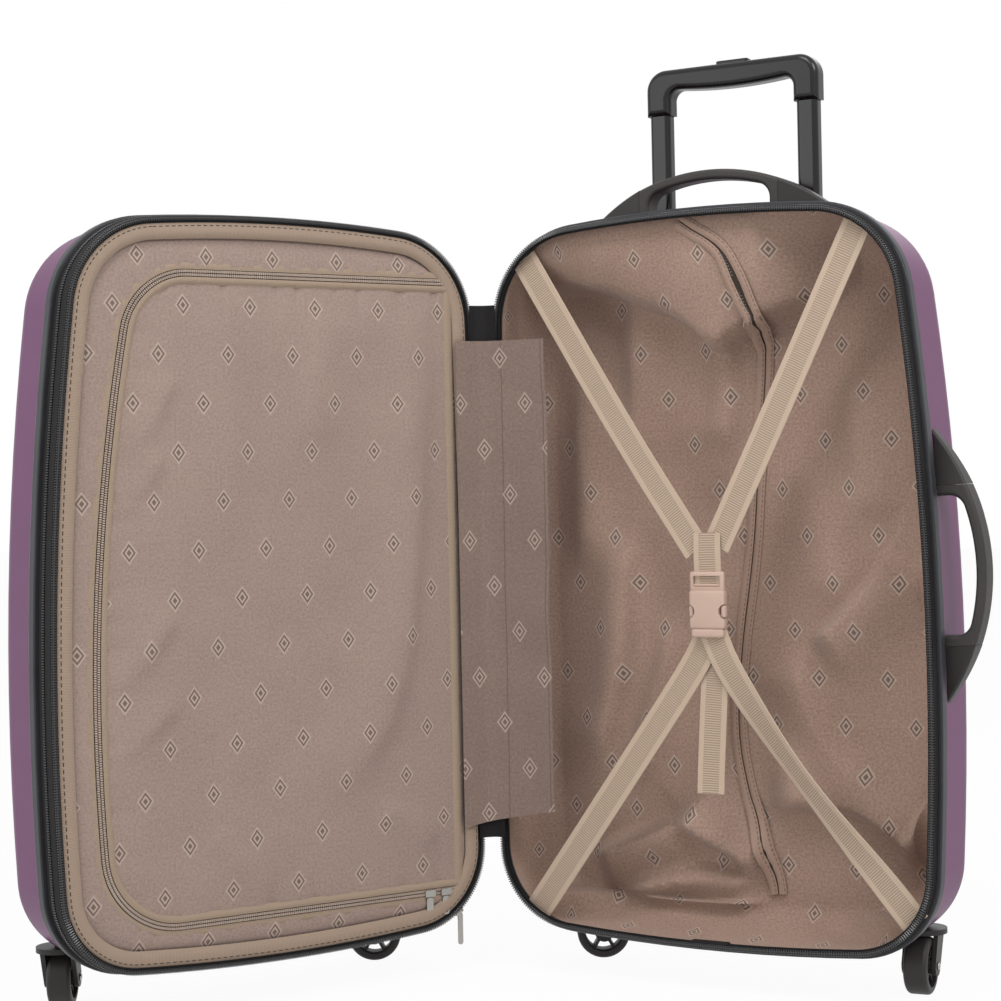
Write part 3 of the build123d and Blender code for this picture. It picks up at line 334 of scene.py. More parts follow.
@dataclass(frozen=True)
class Moulded(Finish):
    """Injection-moulded plastic: an even colour with a fine grain and faint paler scuffs."""

    scuffed: str
    roughness: float = 0.45
    grain: float = 1.4
    relief: float = 0.12
    coat: float = 0.0
    specular: float = 0.4

    def inputs(self, tree: Tree) -> dict[str, object]:
        """Draws the scuffs and the grain.

        Args:
            tree: The material's node tree.

        Returns:
            What feeds the shader.
        """
        add = partial(add_node, tree)
        spot = add("TexCoord", out="Object")
        grain = add("TexNoise", {"Vector": spot, "Scale": 1 / (self.grain * MM), "Detail": 3.0})
        cloud = add("TexNoise", {"Vector": spot, "Scale": 22.0, "Detail": 4.0})
        share = add("MapRange", {0: cloud, 1: 0.35, 2: 0.75, 3: 0.0, 4: 0.6})
        tint = add("Mix RGBA", {0: share, 6: self.colour, 7: self.scuffed}, 2)
        bump = add("Bump", {"Height": grain, "Strength": self.relief, "Distance": 0.4 * MM})
        return {"Base Color": tint, "Normal": bump, "Roughness": self.roughness, "Coat Weight": self.coat,
                "Coat Roughness": 0.18, "Specular IOR Level": self.specular}


@dataclass(frozen=True)
class CastMetal(Finish):
    """Plated die-cast zinc or steel: bright with soft, slightly uneven polish."""

    roughness: float = 0.25

    def inputs(self, tree: Tree) -> dict[str, object]:
        """Draws the polish.

        Args:
            tree: The material's node tree.

        Returns:
            What feeds the shader.
        """
        spot = add_node(tree, "TexCoord", out="Object")
        polish = add_node(tree, "TexNoise", {"Vector": spot, "Scale": 400.0, "Detail": 2.0})
        rough = add_node(tree, "MapRange", {0: polish, 3: self.roughness * 0.7, 4: self.roughness * 1.5})
        return {"Base Color": self.colour, "Roughness": rough, "Metallic": 1.0}


@dataclass(frozen=True)
class Woven(Finish):
    """Woven tape or webbing: ribs across its run between plain selvedges, in its own UV millimetres."""

    shade: str
    pitch: float = 2.1
    middle: float = 0.0
    ribbed: float = 0.0
    roughness: float = 0.8
    sheen: float = 0.15
    stitch: float = 0.0
    thread: str = "3a332e"

    def inputs(self, tree: Tree) -> dict[str, object]:
        """Draws the ribs, the fibre and a row of stitches where there is one.

        Args:
            tree: The material's node tree.

        Returns:
            What feeds the shader.
        """
        add = partial(add_node, tree)
        uv = add("UVMap", uv_map=CLOTH_UV)
        along, across = add("SeparateXYZ", {0: uv}).node.outputs[:2]
        turns = add("Math MULTIPLY", {0: along, 1: 2 * math.pi / (self.pitch * MM)})
        wave = add("Math SINE", {0: turns})
        ribs = add("MapRange", {0: wave, 1: -1.0, 2: 1.0})
        off = add("Math SUBTRACT", {0: across, 1: self.middle * MM})
        aside = add("Math ABSOLUTE", {0: off})
        inside = add("Math LESS_THAN", {0: aside, 1: self.ribbed * MM})
        dark = add("Math MULTIPLY", {0: ribs, 1: inside})
        fibre = add("TexNoise", {"Vector": uv, "Scale": 900.0, "Detail": 3.0})
        faint = add("Math MULTIPLY_ADD", {0: fibre, 1: 0.35, 2: -0.05})
        share = add("Math MAXIMUM", {0: dark, 1: faint})
        colour = add("Mix RGBA", {0: share, 6: self.colour, 7: self.shade}, 2)
        if self.stitch:
            step = add("Math DIVIDE", {0: along, 1: self.stitch * MM})
            part = add("Math FRACT", {0: step})
            long = add("Math LESS_THAN", {0: part, 1: 0.6})
            line = add("Math LESS_THAN", {0: aside, 1: 0.45 * MM})
            seam = add("Math MULTIPLY", {0: long, 1: line})
            colour = add("Mix RGBA", {0: seam, 6: colour, 7: self.thread}, 2)
        bump = add("Bump", {"Height": share, "Strength": 0.5, "Distance": 0.5 * MM}, invert=True)
        return {"Base Color": colour, "Normal": bump, "Roughness": self.roughness, "Specular IOR Level": 0.25,
                "Sheen Weight": self.sheen}


@dataclass(frozen=True)
class PrintedCloth(Finish):
    """Woven polyester lining: fine twill, soft blotches that are partly uneven tone of the cloth and partly
    painted shade, and a sparse generic print of ringed diamonds.
    """

    shade: str
    ink: str = "54463f"
    halo: str = "c0ab9e"
    pitch_across: float = 64.0
    pitch_up: float = 42.0
    stagger: float = 0.37
    half_width: float = 5.4
    half_height: float = 7.2
    twill: float = 1.5
    seams: tuple[float, ...] = ()

    def inputs(self, tree: Tree) -> dict[str, object]:
        """Draws weave, seams and print; the twill's true 0.4 mm is too fine to show, so it is drawn coarser.

        Args:
            tree: The material's node tree.

        Returns:
            What feeds the shader.
        """
        add = partial(add_node, tree)
        uv = add("UVMap", uv_map=CLOTH_UV)
        across, up = add("SeparateXYZ", {0: uv}).node.outputs[:2]
        # Large soft blotches: partly uneven tone of the cloth, partly painted shade
        cloud = add("TexNoise", {"Vector": uv, "Scale": 14.0, "Detail": 4.0, "Roughness": 0.6})
        grain = add("TexNoise", {"Vector": uv, "Scale": 420.0, "Detail": 3.0, "Roughness": 0.7})
        soft = add("Math MULTIPLY_ADD", {0: cloud, 1: 0.7, 2: -1.35})
        share = add("Math MULTIPLY_ADD", {0: grain, 1: 3.0, 2: soft})
        colour = add("Mix RGBA", {0: share, 6: self.colour, 7: self.shade}, 2)
        for seam in self.seams:
            line = add("Math COMPARE", {0: across, 1: seam * MM, 2: 0.55 * MM})
            dim = add("Math MULTIPLY", {0: line, 1: 0.55})
            colour = add("Mix RGBA", {0: dim, 6: colour, 7: self.ink}, 2)
        rows = add("Math DIVIDE", {0: up, 1: self.pitch_up * MM})
        row = add("Math FLOOR", {0: rows})
        shift = add("Math MULTIPLY", {0: row, 1: self.stagger})
        columns = add("Math MULTIPLY_ADD", {0: across, 1: 1 / (self.pitch_across * MM), 2: shift})
        reach = []
        for cell, pitch, half in ((columns, self.pitch_across, self.half_width),
                                  (rows, self.pitch_up, self.half_height)):
            part = add("Math FRACT", {0: cell})
            off = add("Math SUBTRACT", {0: part, 1: 0.5})
            side = add("Math ABSOLUTE", {0: off})
            reach.append(add("Math MULTIPLY", {0: side, 1: pitch / half}))
        far = add("Math ADD", {0: reach[0], 1: reach[1]})
        ring = add("Math COMPARE", {0: far, 1: 0.92, 2: 0.17})
        dot = add("Math LESS_THAN", {0: far, 1: 0.4})
        inked = add("Math MAXIMUM", {0: ring, 1: dot})
        near = add("Math LESS_THAN", {0: far, 1: 1.42})
        for mark, strength, tone in ((near, 0.55, self.halo), (inked, 0.8, self.ink)):
            weight = add("Math MULTIPLY", {0: mark, 1: strength})
            colour = add("Mix RGBA", {0: weight, 6: colour, 7: tone}, 2)
        twill = add("TexWave", {"Vector": uv, "Scale": 0.628 / (self.twill * MM * 1.414), "Distortion": 1.5,
                                "Detail": 1.0}, 1, bands_direction="DIAGONAL")
        crease = add("TexNoise", {"Vector": uv, "Scale": 26.0, "Detail": 3.0})
        weave = add("Bump", {"Height": twill, "Strength": 0.22, "Distance": 0.3 * MM})
        bump = add("Bump", {"Height": crease, "Strength": 0.35, "Distance": 4 * MM, "Normal": weave})
        return {"Base Color": colour, "Normal": bump, "Roughness": 0.75, "Specular IOR Level": 0.25,
                "Sheen Weight": 0.2}


# Polycarbonate skin, vacuum-formed over a fine-grained mould: deep plum with a soft gloss
SHELL = Moulded("plum polycarbonate", "642f5c", "693461", 0.42, 1.6, 0.1, 0.0, 0.22)
# Extruded rubber-modified ABS trim: dark neutral grey, half matt
TRIM = Moulded("slate ABS trim", "2d2e31", "3a3b3f", 0.45, 1.1, 0.08, 0.0, 0.3)
# Pale strip between trim and skin: a thin pale line, painted highlight of the shell's edge
HIGHLIGHT_STRIP = Moulded("painted edge highlight", "9c9ca4", "b0b0b6", 0.4, 0.8, 0.04)
# Moulded nylon of handle feet and casters: charcoal with a coarse grain
NYLON = Moulded("charcoal nylon", "2a2827", "353230", 0.45, 1.3, 0.25, 0.0, 0.3)
# Thermoplastic rubber of the handles' grips: warm grey, matt, grained
SOFT_GRIP = Moulded("grey thermoplastic rubber", "353231", "403d3b", 0.52, 1.5, 0.35, 0.0, 0.3)
# Acetal side release buckle: beige, smooth and slightly waxy
ACETAL = Moulded("beige acetal", "bfa495", "c6ad9f", 0.4, 1.0, 0.04, 0.0, 0.3)
# Polyurethane tyres: dark warm grey, satin
TYRE = Moulded("grey polyurethane tyre", "302d2c", "3b3836", 0.5, 1.2, 0.12, 0.0, 0.3)
# Gloss black powder-coated aluminium tubes: sharp long highlights
TUBE = Moulded("gloss black aluminium tube", "0a0a0b", "0f0f11", 0.16, 2.0, 0.02, 0.1, 0.35)
# Injection-moulded ABS of the trolley grip: gloss black with soft highlights
GRIP = Moulded("gloss black ABS", "100f10", "171617", 0.24, 2.0, 0.05, 0.0, 0.35)
# Black nylon zip coils: shiny, so that each turn shows a dot of light
COIL = Moulded("black nylon coil", "242325", "2e2d30", 0.25, 0.8, 0.05, 0.2, 0.6)
# Tan nylon coil of the divider's zip: paler, less shiny
TAN_COIL = Moulded("tan nylon coil", "a9978a", "b8a799", 0.35, 0.8, 0.05)
# Die-cast zinc of sliders, pulls and screws, nickel plated: bright and mirror-like
ZINC = CastMetal("nickel plated zinc", "a9a6a1", 0.24)
# Turned steel of rods and plugs: greyer, with a soft sheen
STEEL = CastMetal("steel rod", "8a8a8c", 0.3)
# Polyester zip tape: black herringbone
BLACK_TAPE = Woven("black zip tape", "131112", "1d1b1b", 1.6, 0.0, 40.0, 0.7, 0.0)
# Luggage webbing: tan, with raised ribs across the middle and plain selvedges
WEBBING = Woven("tan ribbed webbing", "c0ab97", "958271", 2.1, 0.0, 7.9, 0.75, 0.15)
# Grosgrain binding: tan, finely ribbed, with one dark row of stitches
BINDING = Woven("tan grosgrain binding", "a69281", "94806f", 1.3, 4.4, 40.0, 0.8, 0.15, 6.0)
# Plain tape beside the divider's zip: tan, finely ribbed
PIPING = Woven("tan zip tape", "a69380", "94806d", 1.2, 0.0, 40.0, 0.8, 0.15)
# Plackets of the slit: the lining's cloth with a row of stitches
PLACKET = Woven("stitched taupe placket", "a98f80", "997f71", 1.2, 1.6, 40.0, 0.8, 0.15, 4.5, "806a5e")
# Dark sheet inside the slit: painted shade of the hollow between the plackets
SLIT_SHADE_SHEET = Woven("painted slit shade", "43372f", "372c26", 1.2, 0.0, 40.0, 0.9, 0.0)
# Printed polyester of the lining: warm taupe with a visible weave
LINING = PrintedCloth("taupe printed polyester", "a88e7f", "8c7366")
# The same cloth on the divider, drawn a little greyer and darker as painted shade
PANEL = PrintedCloth("taupe panel polyester in painted shade", "a18c81", "8b7970")
# The hinge cover: the lining's cloth coloured darker all over as painted shade of the fold it hangs in, with
# two rows of stitches
FLAP_SHADED_CLOTH = PrintedCloth("taupe hemmed polyester in painted shade", "87746a", "73625a", seams=(45.0, 86.0))


def deselect() -> None:
    """Deselects every object, because operators act on all that is selected."""
    bpy.ops.object.select_all(action="DESELECT")


def select_only(piece: Piece) -> None:
    """Makes one object the only selected and active one.

    Args:
        piece: The object.
    """
    deselect()
    piece.select_set(True)
    bpy.context.view_layer.objects.active = piece


def apply_modifier(piece: Piece, kind: str, **settings: object) -> None:
    """Adds a modifier and applies it.

    Args:
        piece: The object.
        kind: The modifier's type.
        **settings: Attributes of the modifier.
    """
    select_only(piece)
    modifier = piece.modifiers.new(kind.lower(), kind)
    for name, value in settings.items():
        setattr(modifier, name, value)
    bpy.ops.object.modifier_apply(modifier=modifier.name)


def bevel_edges(offset: float, segments: int) -> None:
    """Bevels every edge of the active object.

    Args:
        offset: Width of the bevel, in its own units.
        segments: How many steps it has.
    """
    bpy.ops.object.mode_set(mode="EDIT")
    bpy.ops.mesh.select_all(action="SELECT")
    bpy.ops.mesh.bevel(offset=offset, segments=segments, profile=0.5)
    bpy.ops.object.mode_set(mode="OBJECT")


def tidy_faces(piece: Piece, merge: float = 0.00002) -> None:
    """Merges doubled vertices and turns the faces outwards.

    Args:
        piece: The object.
        merge: Largest distance of doubles, in metres.
    """
    select_only(piece)
    bpy.ops.object.mode_set(mode="EDIT")
    bpy.ops.mesh.select_all(action="SELECT")
    bpy.ops.mesh.remove_doubles(threshold=merge)
    bpy.ops.mesh.normals_make_consistent(inside=False)
    bpy.ops.object.mode_set(mode="OBJECT")


def grid_sheet(name: str, points: np.ndarray, spans: np.ndarray, thickness: float = 0.0) -> Piece:
    """A sheet from a grid primitive whose points are drawn to their places.

    Args:
        name: The piece's name.
        points: Rows by columns of places in the row frame, in metres.
        spans: Rows by columns of real positions on the cloth, in millimetres, for its UV map.
        thickness: Thickness given by a Solidify modifier, in millimetres.

    Returns:
        The new object.
    """
    rows, columns = points.shape[:2]
    deselect()
    bpy.ops.mesh.primitive_grid_add(x_subdivisions=columns - 1, y_subdivisions=rows - 1, size=1.0,
                                    calc_uvs=True)
    piece = bpy.context.object
    piece.name = name
    piece.data.vertices.foreach_set("co", points.reshape(-1).astype(np.float32))
    layer = piece.data.uv_layers.active
    layer.name = CLOTH_UV
    corners = np.empty(len(piece.data.loops), dtype=np.int32)
    piece.data.loops.foreach_get("vertex_index", corners)
    layer.data.foreach_set("uv", (spans * MM).reshape(-1, 2)[corners].reshape(-1).astype(np.float32))
    piece.data.update()
    tidy_faces(piece)
    if thickness:
        apply_modifier(piece, "SOLIDIFY", thickness=thickness * MM, offset=0.0, use_even_offset=False)
    select_only(piece)
    bpy.ops.object.shade_smooth_by_angle(angle=math.radians(50))
    return piece


def dress(piece: Piece, finish: Finish, body: str, slot: str, *replaces: str) -> None:
    """Gives a piece its finish, body and the CAD nodes it stands for.

    Args:
        piece: The object.
        finish: Its finish.
        body: The CAD body it rides on, or none where it blends.
        slot: The record's material slot; not used.
        *replaces: CAD nodes that it stands for.
    """
    piece.data.materials.clear()
    piece.data.materials.append(finish.material())
    if replaces:
        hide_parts(*replaces)
    if body:
        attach(piece, body)
    log.info("piece %s: %d faces", piece.name, len(piece.data.polygons))


def band(name: str, half: Half, track: Track, profile: Line, thickness: float = 0.0) -> Piece:
    """A band or tube that follows a run.

    Args:
        name: The piece's name.
        half: The half it belongs to.
        track: The run.
        profile: Inset and depth of each line of its cross-section; the first again at the end makes a tube.
        thickness: Thickness in millimetres.

    Returns:
        The new object.
    """
    lines = np.stack([track.at(inset, depth) for inset, depth in profile])
    if track.closed:
        lines = close_ring(lines)
    spans = strip_places(track.lengths(), run_lengths(np.array(profile)))
    return grid_sheet(name, half.place(lines), spans, thickness)


def round_profile(inset: float, depth: float, radius: float, sides: int = 8) -> Line:
    """A closed round cross-section.

    Args:
        inset: Inset of its middle.
        depth: Depth of its middle.
        radius: Its radius.
        sides: How many sides it has.

    Returns:
        Inset and depth of each corner, with the first again at the end.
    """
    angles = np.linspace(0.0, 2 * math.pi, sides + 1)
    return tuple((inset + radius * math.cos(angle), depth + radius * math.sin(angle)) for angle in angles)


@dataclass(frozen=True)
class ZipRow:
    """A row of zip teeth: one small rounded tooth, repeated along a run."""

    pitch: float
    wide: float
    long: float
    high: float

    def tooth(self) -> tuple[np.ndarray, list[tuple[int, ...]]]:
        """Models one tooth about its middle.

        Returns:
            Its points along, across and high, in millimetres, and its faces.
        """
        deselect()
        bpy.ops.mesh.primitive_cube_add(size=1.0, scale=(self.long, self.wide, self.high))
        bpy.ops.object.transform_apply(scale=True)
        model = bpy.context.object
        bevel_edges(self.long * 0.28, 1)
        points = np.array([vertex.co[:] for vertex in model.data.vertices])
        faces = [tuple(face.vertices) for face in model.data.polygons]
        bpy.data.objects.remove(model)
        return points, faces

    def build(self, name: str, half: Half, track: Track, inset: float, depth: float | np.ndarray) -> Piece:
        """Repeats the tooth along a run.

        Args:
            name: The piece's name.
            half: The half it belongs to.
            track: The run.
            inset: Inset of the teeth's middle.
            depth: Depth of the teeth's middle, one for all or one for each point of an open run.

        Returns:
            The new object.
        """
        points, faces = self.tooth()
        inner = Track(track.points - track.normals * inset, track.normals, track.closed)
        run = inner.even(int(inner.lengths()[-1] / self.pitch))
        along = np.stack([run.normals[:, 1], -run.normals[:, 0]], axis=1)
        flat = (run.points[:, None] + along[:, None] * points[None, :, :1]
                + run.normals[:, None] * points[None, :, 1:2])
        shares = np.linspace(0.0, 1.0, len(run.points))
        level = np.interp(shares, np.linspace(0.0, 1.0, np.size(depth)), np.ravel(depth))
        deep = level[:, None] + points[None, :, 2]
        places = half.place(np.stack([flat[..., 0], deep, flat[..., 1]], axis=-1)).reshape(-1, 3)
        every = [tuple(corner + step * len(points) for corner in face)
                 for step in range(len(run.points)) for face in faces]
        mesh = bpy.data.meshes.new(name)
        mesh.from_pydata(places.tolist(), [], every)
        piece = bpy.data.objects.new(name, mesh)
        bpy.context.scene.collection.objects.link(piece)
        tidy_faces(piece, 0.000001)
        return piece


@dataclass(frozen=True)
class MainZip:
    """The main zip's two sides, the expander zip behind the front one, and a pale strip beside each rim as
    painted highlight of the shell's edge.
    """

    teeth: ZipRow = ZipRow(2.2, 4.4, 1.25, 2.0)
    fine: ZipRow = ZipRow(2.2, 3.4, 1.25, 1.8)
    count: int = 480
    highlight_strip_count: int = 360
    highlight_strip_radius: float = 1.1
    gusset: Line = ((7.4, 6.8), (8.2, 12.0), (7.2, 18.0), (8.4, 24.0), (7.4, 29.6))

    def build(self) -> None:
        """Builds both tapes and coils, the expander's, and the pale strips of painted edge highlight."""
        run = OUTLINE.track(self.count)
        for half, word, rim in ((Half.REAR, "rear", 12.6), (Half.FRONT, "front", 14.2)):
            tape = band(f"{word}_tape", half, run, ((9.8, 3.4), (7.6, 3.3), (4.8, 4.6), (4.0, rim)), 1.0)
            dress(tape, BLACK_TAPE, half.value, "zip_tape", f"{word}_zip_tape")
            coil = self.teeth.build(f"{word}_teeth", half, run, 6.2, 1.3)
            dress(coil, COIL, half.value, "zip_teeth", f"{word}_zip_teeth")
            core = band(f"{word}_coil_cord", half, run, round_profile(6.2, 1.5, 0.8))
            dress(core, COIL, half.value, "zip_teeth")
        for word, depth, body in (("inner", 15.2, "front_frame"), ("outer", 17.8, "front_case")):
            coil = self.fine.build(f"expander_row_{word}", Half.FRONT, run, 4.2, depth)
            dress(coil, COIL, body, "zip_teeth", f"expander_coil_{word}")
        tape = band("expander_side_tape", Half.FRONT, run, ((4.6, 19.0), (4.2, 24.0), (4.4, 30.4)), 1.0)
        dress(tape, BLACK_TAPE, "front_case", "zip_tape", "expander_tape")
        cloth = band("expander_cloth", Half.FRONT, run, self.gusset, 0.8)
        dress(cloth, BLACK_TAPE, "", "zip_tape", "expander_gusset")
        start, end = Half.FRONT.place(np.array([[0.0, 8.0, 363.0], [0.0, 29.0, 363.0]]))
        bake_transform(cloth)
        # Pale strips along each shell edge: painted highlight
        run = OUTLINE.track(self.highlight_strip_count)
        for half, word, depth, body in ((Half.REAR, "rear", 24.3, "rear_half"),
                                        (Half.FRONT, "front", 42.2, "front_case")):
            highlight_strip = band(f"{word}_bead", half, run, round_profile(1.7, depth, self.highlight_strip_radius))
            dress(highlight_strip, HIGHLIGHT_STRIP, body, "rim")


@dataclass(frozen=True)
class Fold:
    """A fold of slack cloth: a ridge along a line, steep on one side and shallow on the other."""

    line: Line
    height: float
    left: float
    right: float
    fading: float = 0.22

    def rise(self, spots: np.ndarray) -> np.ndarray:
        """How far the fold lifts the cloth.

        Args:
            spots: Places across and up, in millimetres.

        Returns:
            The lift at each place, in millimetres.
        """
        corners = cut_corners(self.line, 3)
        starts = run_lengths(corners)
        best = np.full(len(spots), np.inf)
        side, along = np.zeros(len(spots)), np.zeros(len(spots))
        for index, step in enumerate(np.diff(corners, axis=0)):
            size = np.hypot(*step)
            way = step / size
            gap = spots - corners[index]
            run = np.clip(gap @ way, 0.0, size)
            far = np.hypot(*(gap - run[:, None] * way).T)
            closer = far < best
            best = np.where(closer, far, best)
            side = np.where(closer, way[0] * gap[:, 1] - way[1] * gap[:, 0], side)
            along = np.where(closer, (starts[index] + run) / starts[-1], along)
        width = np.where(side > 0, self.left, self.right)
        fade = ease(np.minimum(along, 1 - along) / self.fading)
        ridge = np.exp(-(best / width) ** 2) * np.where(fade > 0, 1.0, 0.6)
        return self.height * (0.15 + 0.85 * fade) * ridge


def lift_by(folds: tuple[Fold, ...], spots: np.ndarray) -> np.ndarray:
    """Lift of several folds together at each spot."""
    return sum((fold.rise(spots) for fold in folds), np.zeros(len(spots)))


@dataclass(frozen=True)
class LiningTray:
    """A cloth lining: drawn from the zip back round its corners to a slack back panel."""

    name: str
    half: Half
    body: str
    node: str
    front: float
    back: float
    folds: tuple[Fold, ...] = ()
    edge: float = 6.6
    corner: float = 34.0
    top_corner: float = 34.0
    ripple: float = 1.2
    around: int = 620
    across: int = 120
    bend_share: float = 0.4
    well_depth: float = 89.0
    well_across: float = 167.0
    well_top: float = 70.5
    well_reach: float = 62.0
    well_slope: float = 15.0
    wall_share: float = 0.6
    seam_share: float = 0.06
    sag: Line = ()
    sag_depth: float = 31.0
    sag_swell: float = 5.0
    sag_ends: tuple[float, float] = (25.0, 80.0)
    lip_fall: float = 9.0
    slack: float = 1.3

    def hang(self, points: np.ndarray, run: Track) -> None:
        """Lets the cloth hang from the top edge down to a lip, below which it falls back.

        Args:
            points: The cloth's half-frame points, which are changed.
            run: The outline that the columns start from.
        """
        line = np.array(self.sag)
        across, up = points[..., 0], points[..., 2]
        lip = np.interp(across, line[:, 0], line[:, 1])
        upper = run.points[run.normals[:, 1] > 0.02]
        upper = upper[np.argsort(upper[:, 0])]
        crest = np.interp(across, upper[:, 0], upper[:, 1]) - self.edge
        share = np.clip((crest - up) / np.maximum(crest - lip, 8.0), 0.0, 1.0)
        swell = self.sag_swell * np.sin(share * math.pi)
        pillow = self.front + (self.sag_depth - self.front) * share - swell
        ends = np.clip((across - line[0, 0]) / self.sag_ends[0], 0.0, 1.0)
        ends = ends * np.clip((line[-1, 0] - across) / self.sag_ends[1], 0.0, 1.0)
        held = (1 - ease((lip - up) / self.lip_fall)) * ends
        points[..., 1] -= np.clip(points[..., 1] - pillow, 0.0, None) * held

    def points(self) -> tuple[np.ndarray, np.ndarray]:
        """Works out the cloth's form.

        Returns:
            Rows by columns of half-frame points, and of real places on the flat cloth, in millimetres.
        """
        run = OUTLINE.track(self.around)
        middle = np.array([0.0, OUTLINE.low + OUTLINE.height / 2])
        bend = self.corner + (self.top_corner - self.corner) * np.clip(run.normals[:, 1], 0.0, 1.0) ** 2
        fall = self.back - self.front
        shares = np.linspace(0.0, 1.0, self.across)
        rows, spans = [], []
        for share in shares:
            turned = min(share / self.bend_share, 1.0)
            pull = max(share - self.bend_share, 0.0) / (1 - self.bend_share)
            wall = math.cos(turned * math.pi / 2)
            flat = run.points - run.normals * (self.edge + bend * (1 - wall))[:, None]
            flat = flat + (middle - flat) * pull
            out = run.normals * fall * (1 - turned)
            spots = flat + out
            lift = self.slack * lift_by(self.folds, flat + out * 0.5)
            lift += self.ripple / 2 * (np.sin(spots[:, 0] / 17 + spots[:, 1] / 41)
                                       + np.sin(spots[:, 1] / 29 - spots[:, 0] / 53)
                                       + np.sin((spots[:, 0] + spots[:, 1]) / 23))
            lift *= min(1.0, share / self.seam_share)
            inward = self.wall_share * wall
            deep = self.front + fall * math.sin(turned * math.pi / 2) - lift * (1 - inward)
            flat = flat - run.normals * (lift * inward)[:, None]
            rows.append(np.stack([flat[:, 0], deep, flat[:, 1]], axis=1))
            spans.append(spots)
        points, spots = np.array(rows), np.array(spans)
        if self.sag:
            self.hang(points, run)
        for side in (-1, 1):
            near = np.hypot(points[..., 0] - side * self.well_across, points[..., 1] - self.well_depth)
            over = ease((self.well_reach - near) / self.well_slope)
            points[..., 2] += np.clip(self.well_top - points[..., 2], 0.0, None) * over
        last = int(np.sum(shares < self.bend_share))
        steps = np.linalg.norm(np.diff(points[:last + 1], axis=0), axis=2)
        spots[:last] = spots[last] + run.normals * np.cumsum(steps[::-1], axis=0)[::-1][..., None]
        return close_ring(points), close_ring(spots)

    def build(self, rests_on: str) -> np.ndarray:
        """Args:
            rests_on: The CAD node that carries it; not used.

        Returns:
            Its half-frame points.
        """
        points, spots = self.points()
        cloth = grid_sheet(self.name, self.half.place(points), spots)
        apply_modifier(cloth, "SMOOTH", factor=0.5, iterations=5)
        dress(cloth, LINING, self.body, "lining", self.node)
        return points.reshape(-1, 3)


REAR_SAG = ((-200, 644), (-169, 636), (-132, 634), (-102, 627), (-67, 613), (-50, 607), (-28, 594), (-6, 575),
            (4, 571), (15, 580), (34, 590), (70, 604), (130, 622))
REAR_FOLDS = (
    Fold(((-30, 600), (-4, 560), (0, 520), (-10, 470)), 8, 14, 20),
    Fold(((74, 303), (100, 319), (127, 346), (140, 360), (150, 385)), 18, 5, 42),
    Fold(((27, 159), (74, 163), (107, 161), (133, 153), (168, 131), (182, 120)), 20, 38, 5),
    Fold(((150, 115), (168, 131), (179, 146), (190, 170)), 12, 6, 20),
    Fold(((-147, 101), (-94, 122), (-53, 137), (-45, 140)), 22, 6, 30),
    Fold(((-60, 150), (-45, 136), (-3, 117), (18, 103), (26, 92)), 21, 28, 6),
    Fold(((-114, 67), (-85, 80), (-39, 91), (7, 89), (24, 101)), 16, 5, 18),
    Fold(((-101, 65), (-69, 62), (-30, 64), (7, 67), (30, 72)), 11, 4, 14),
    Fold(((-100, 420), (-107, 375), (-112, 291), (-141, 194), (-143, 168)), 11, 12, 26),
    Fold(((-84, 640), (-87, 618), (-90, 576), (-92, 507), (-99, 461)), 9, 28, 15),
    Fold(((-150, 560), (-146, 460), (-150, 360)), 7, 22, 16),
    Fold(((120, 560), (132, 480), (128, 400)), 9, 34, 22),
    Fold(((-60, 330), (-70, 270), (-95, 205), (-120, 170)), 8, 24, 12),
    Fold(((60, 300), (66, 250), (90, 205), (140, 180)), 9, 12, 30),
    Fold(((70, 480), (95, 400), (105, 330)), 7, 20, 30),
)


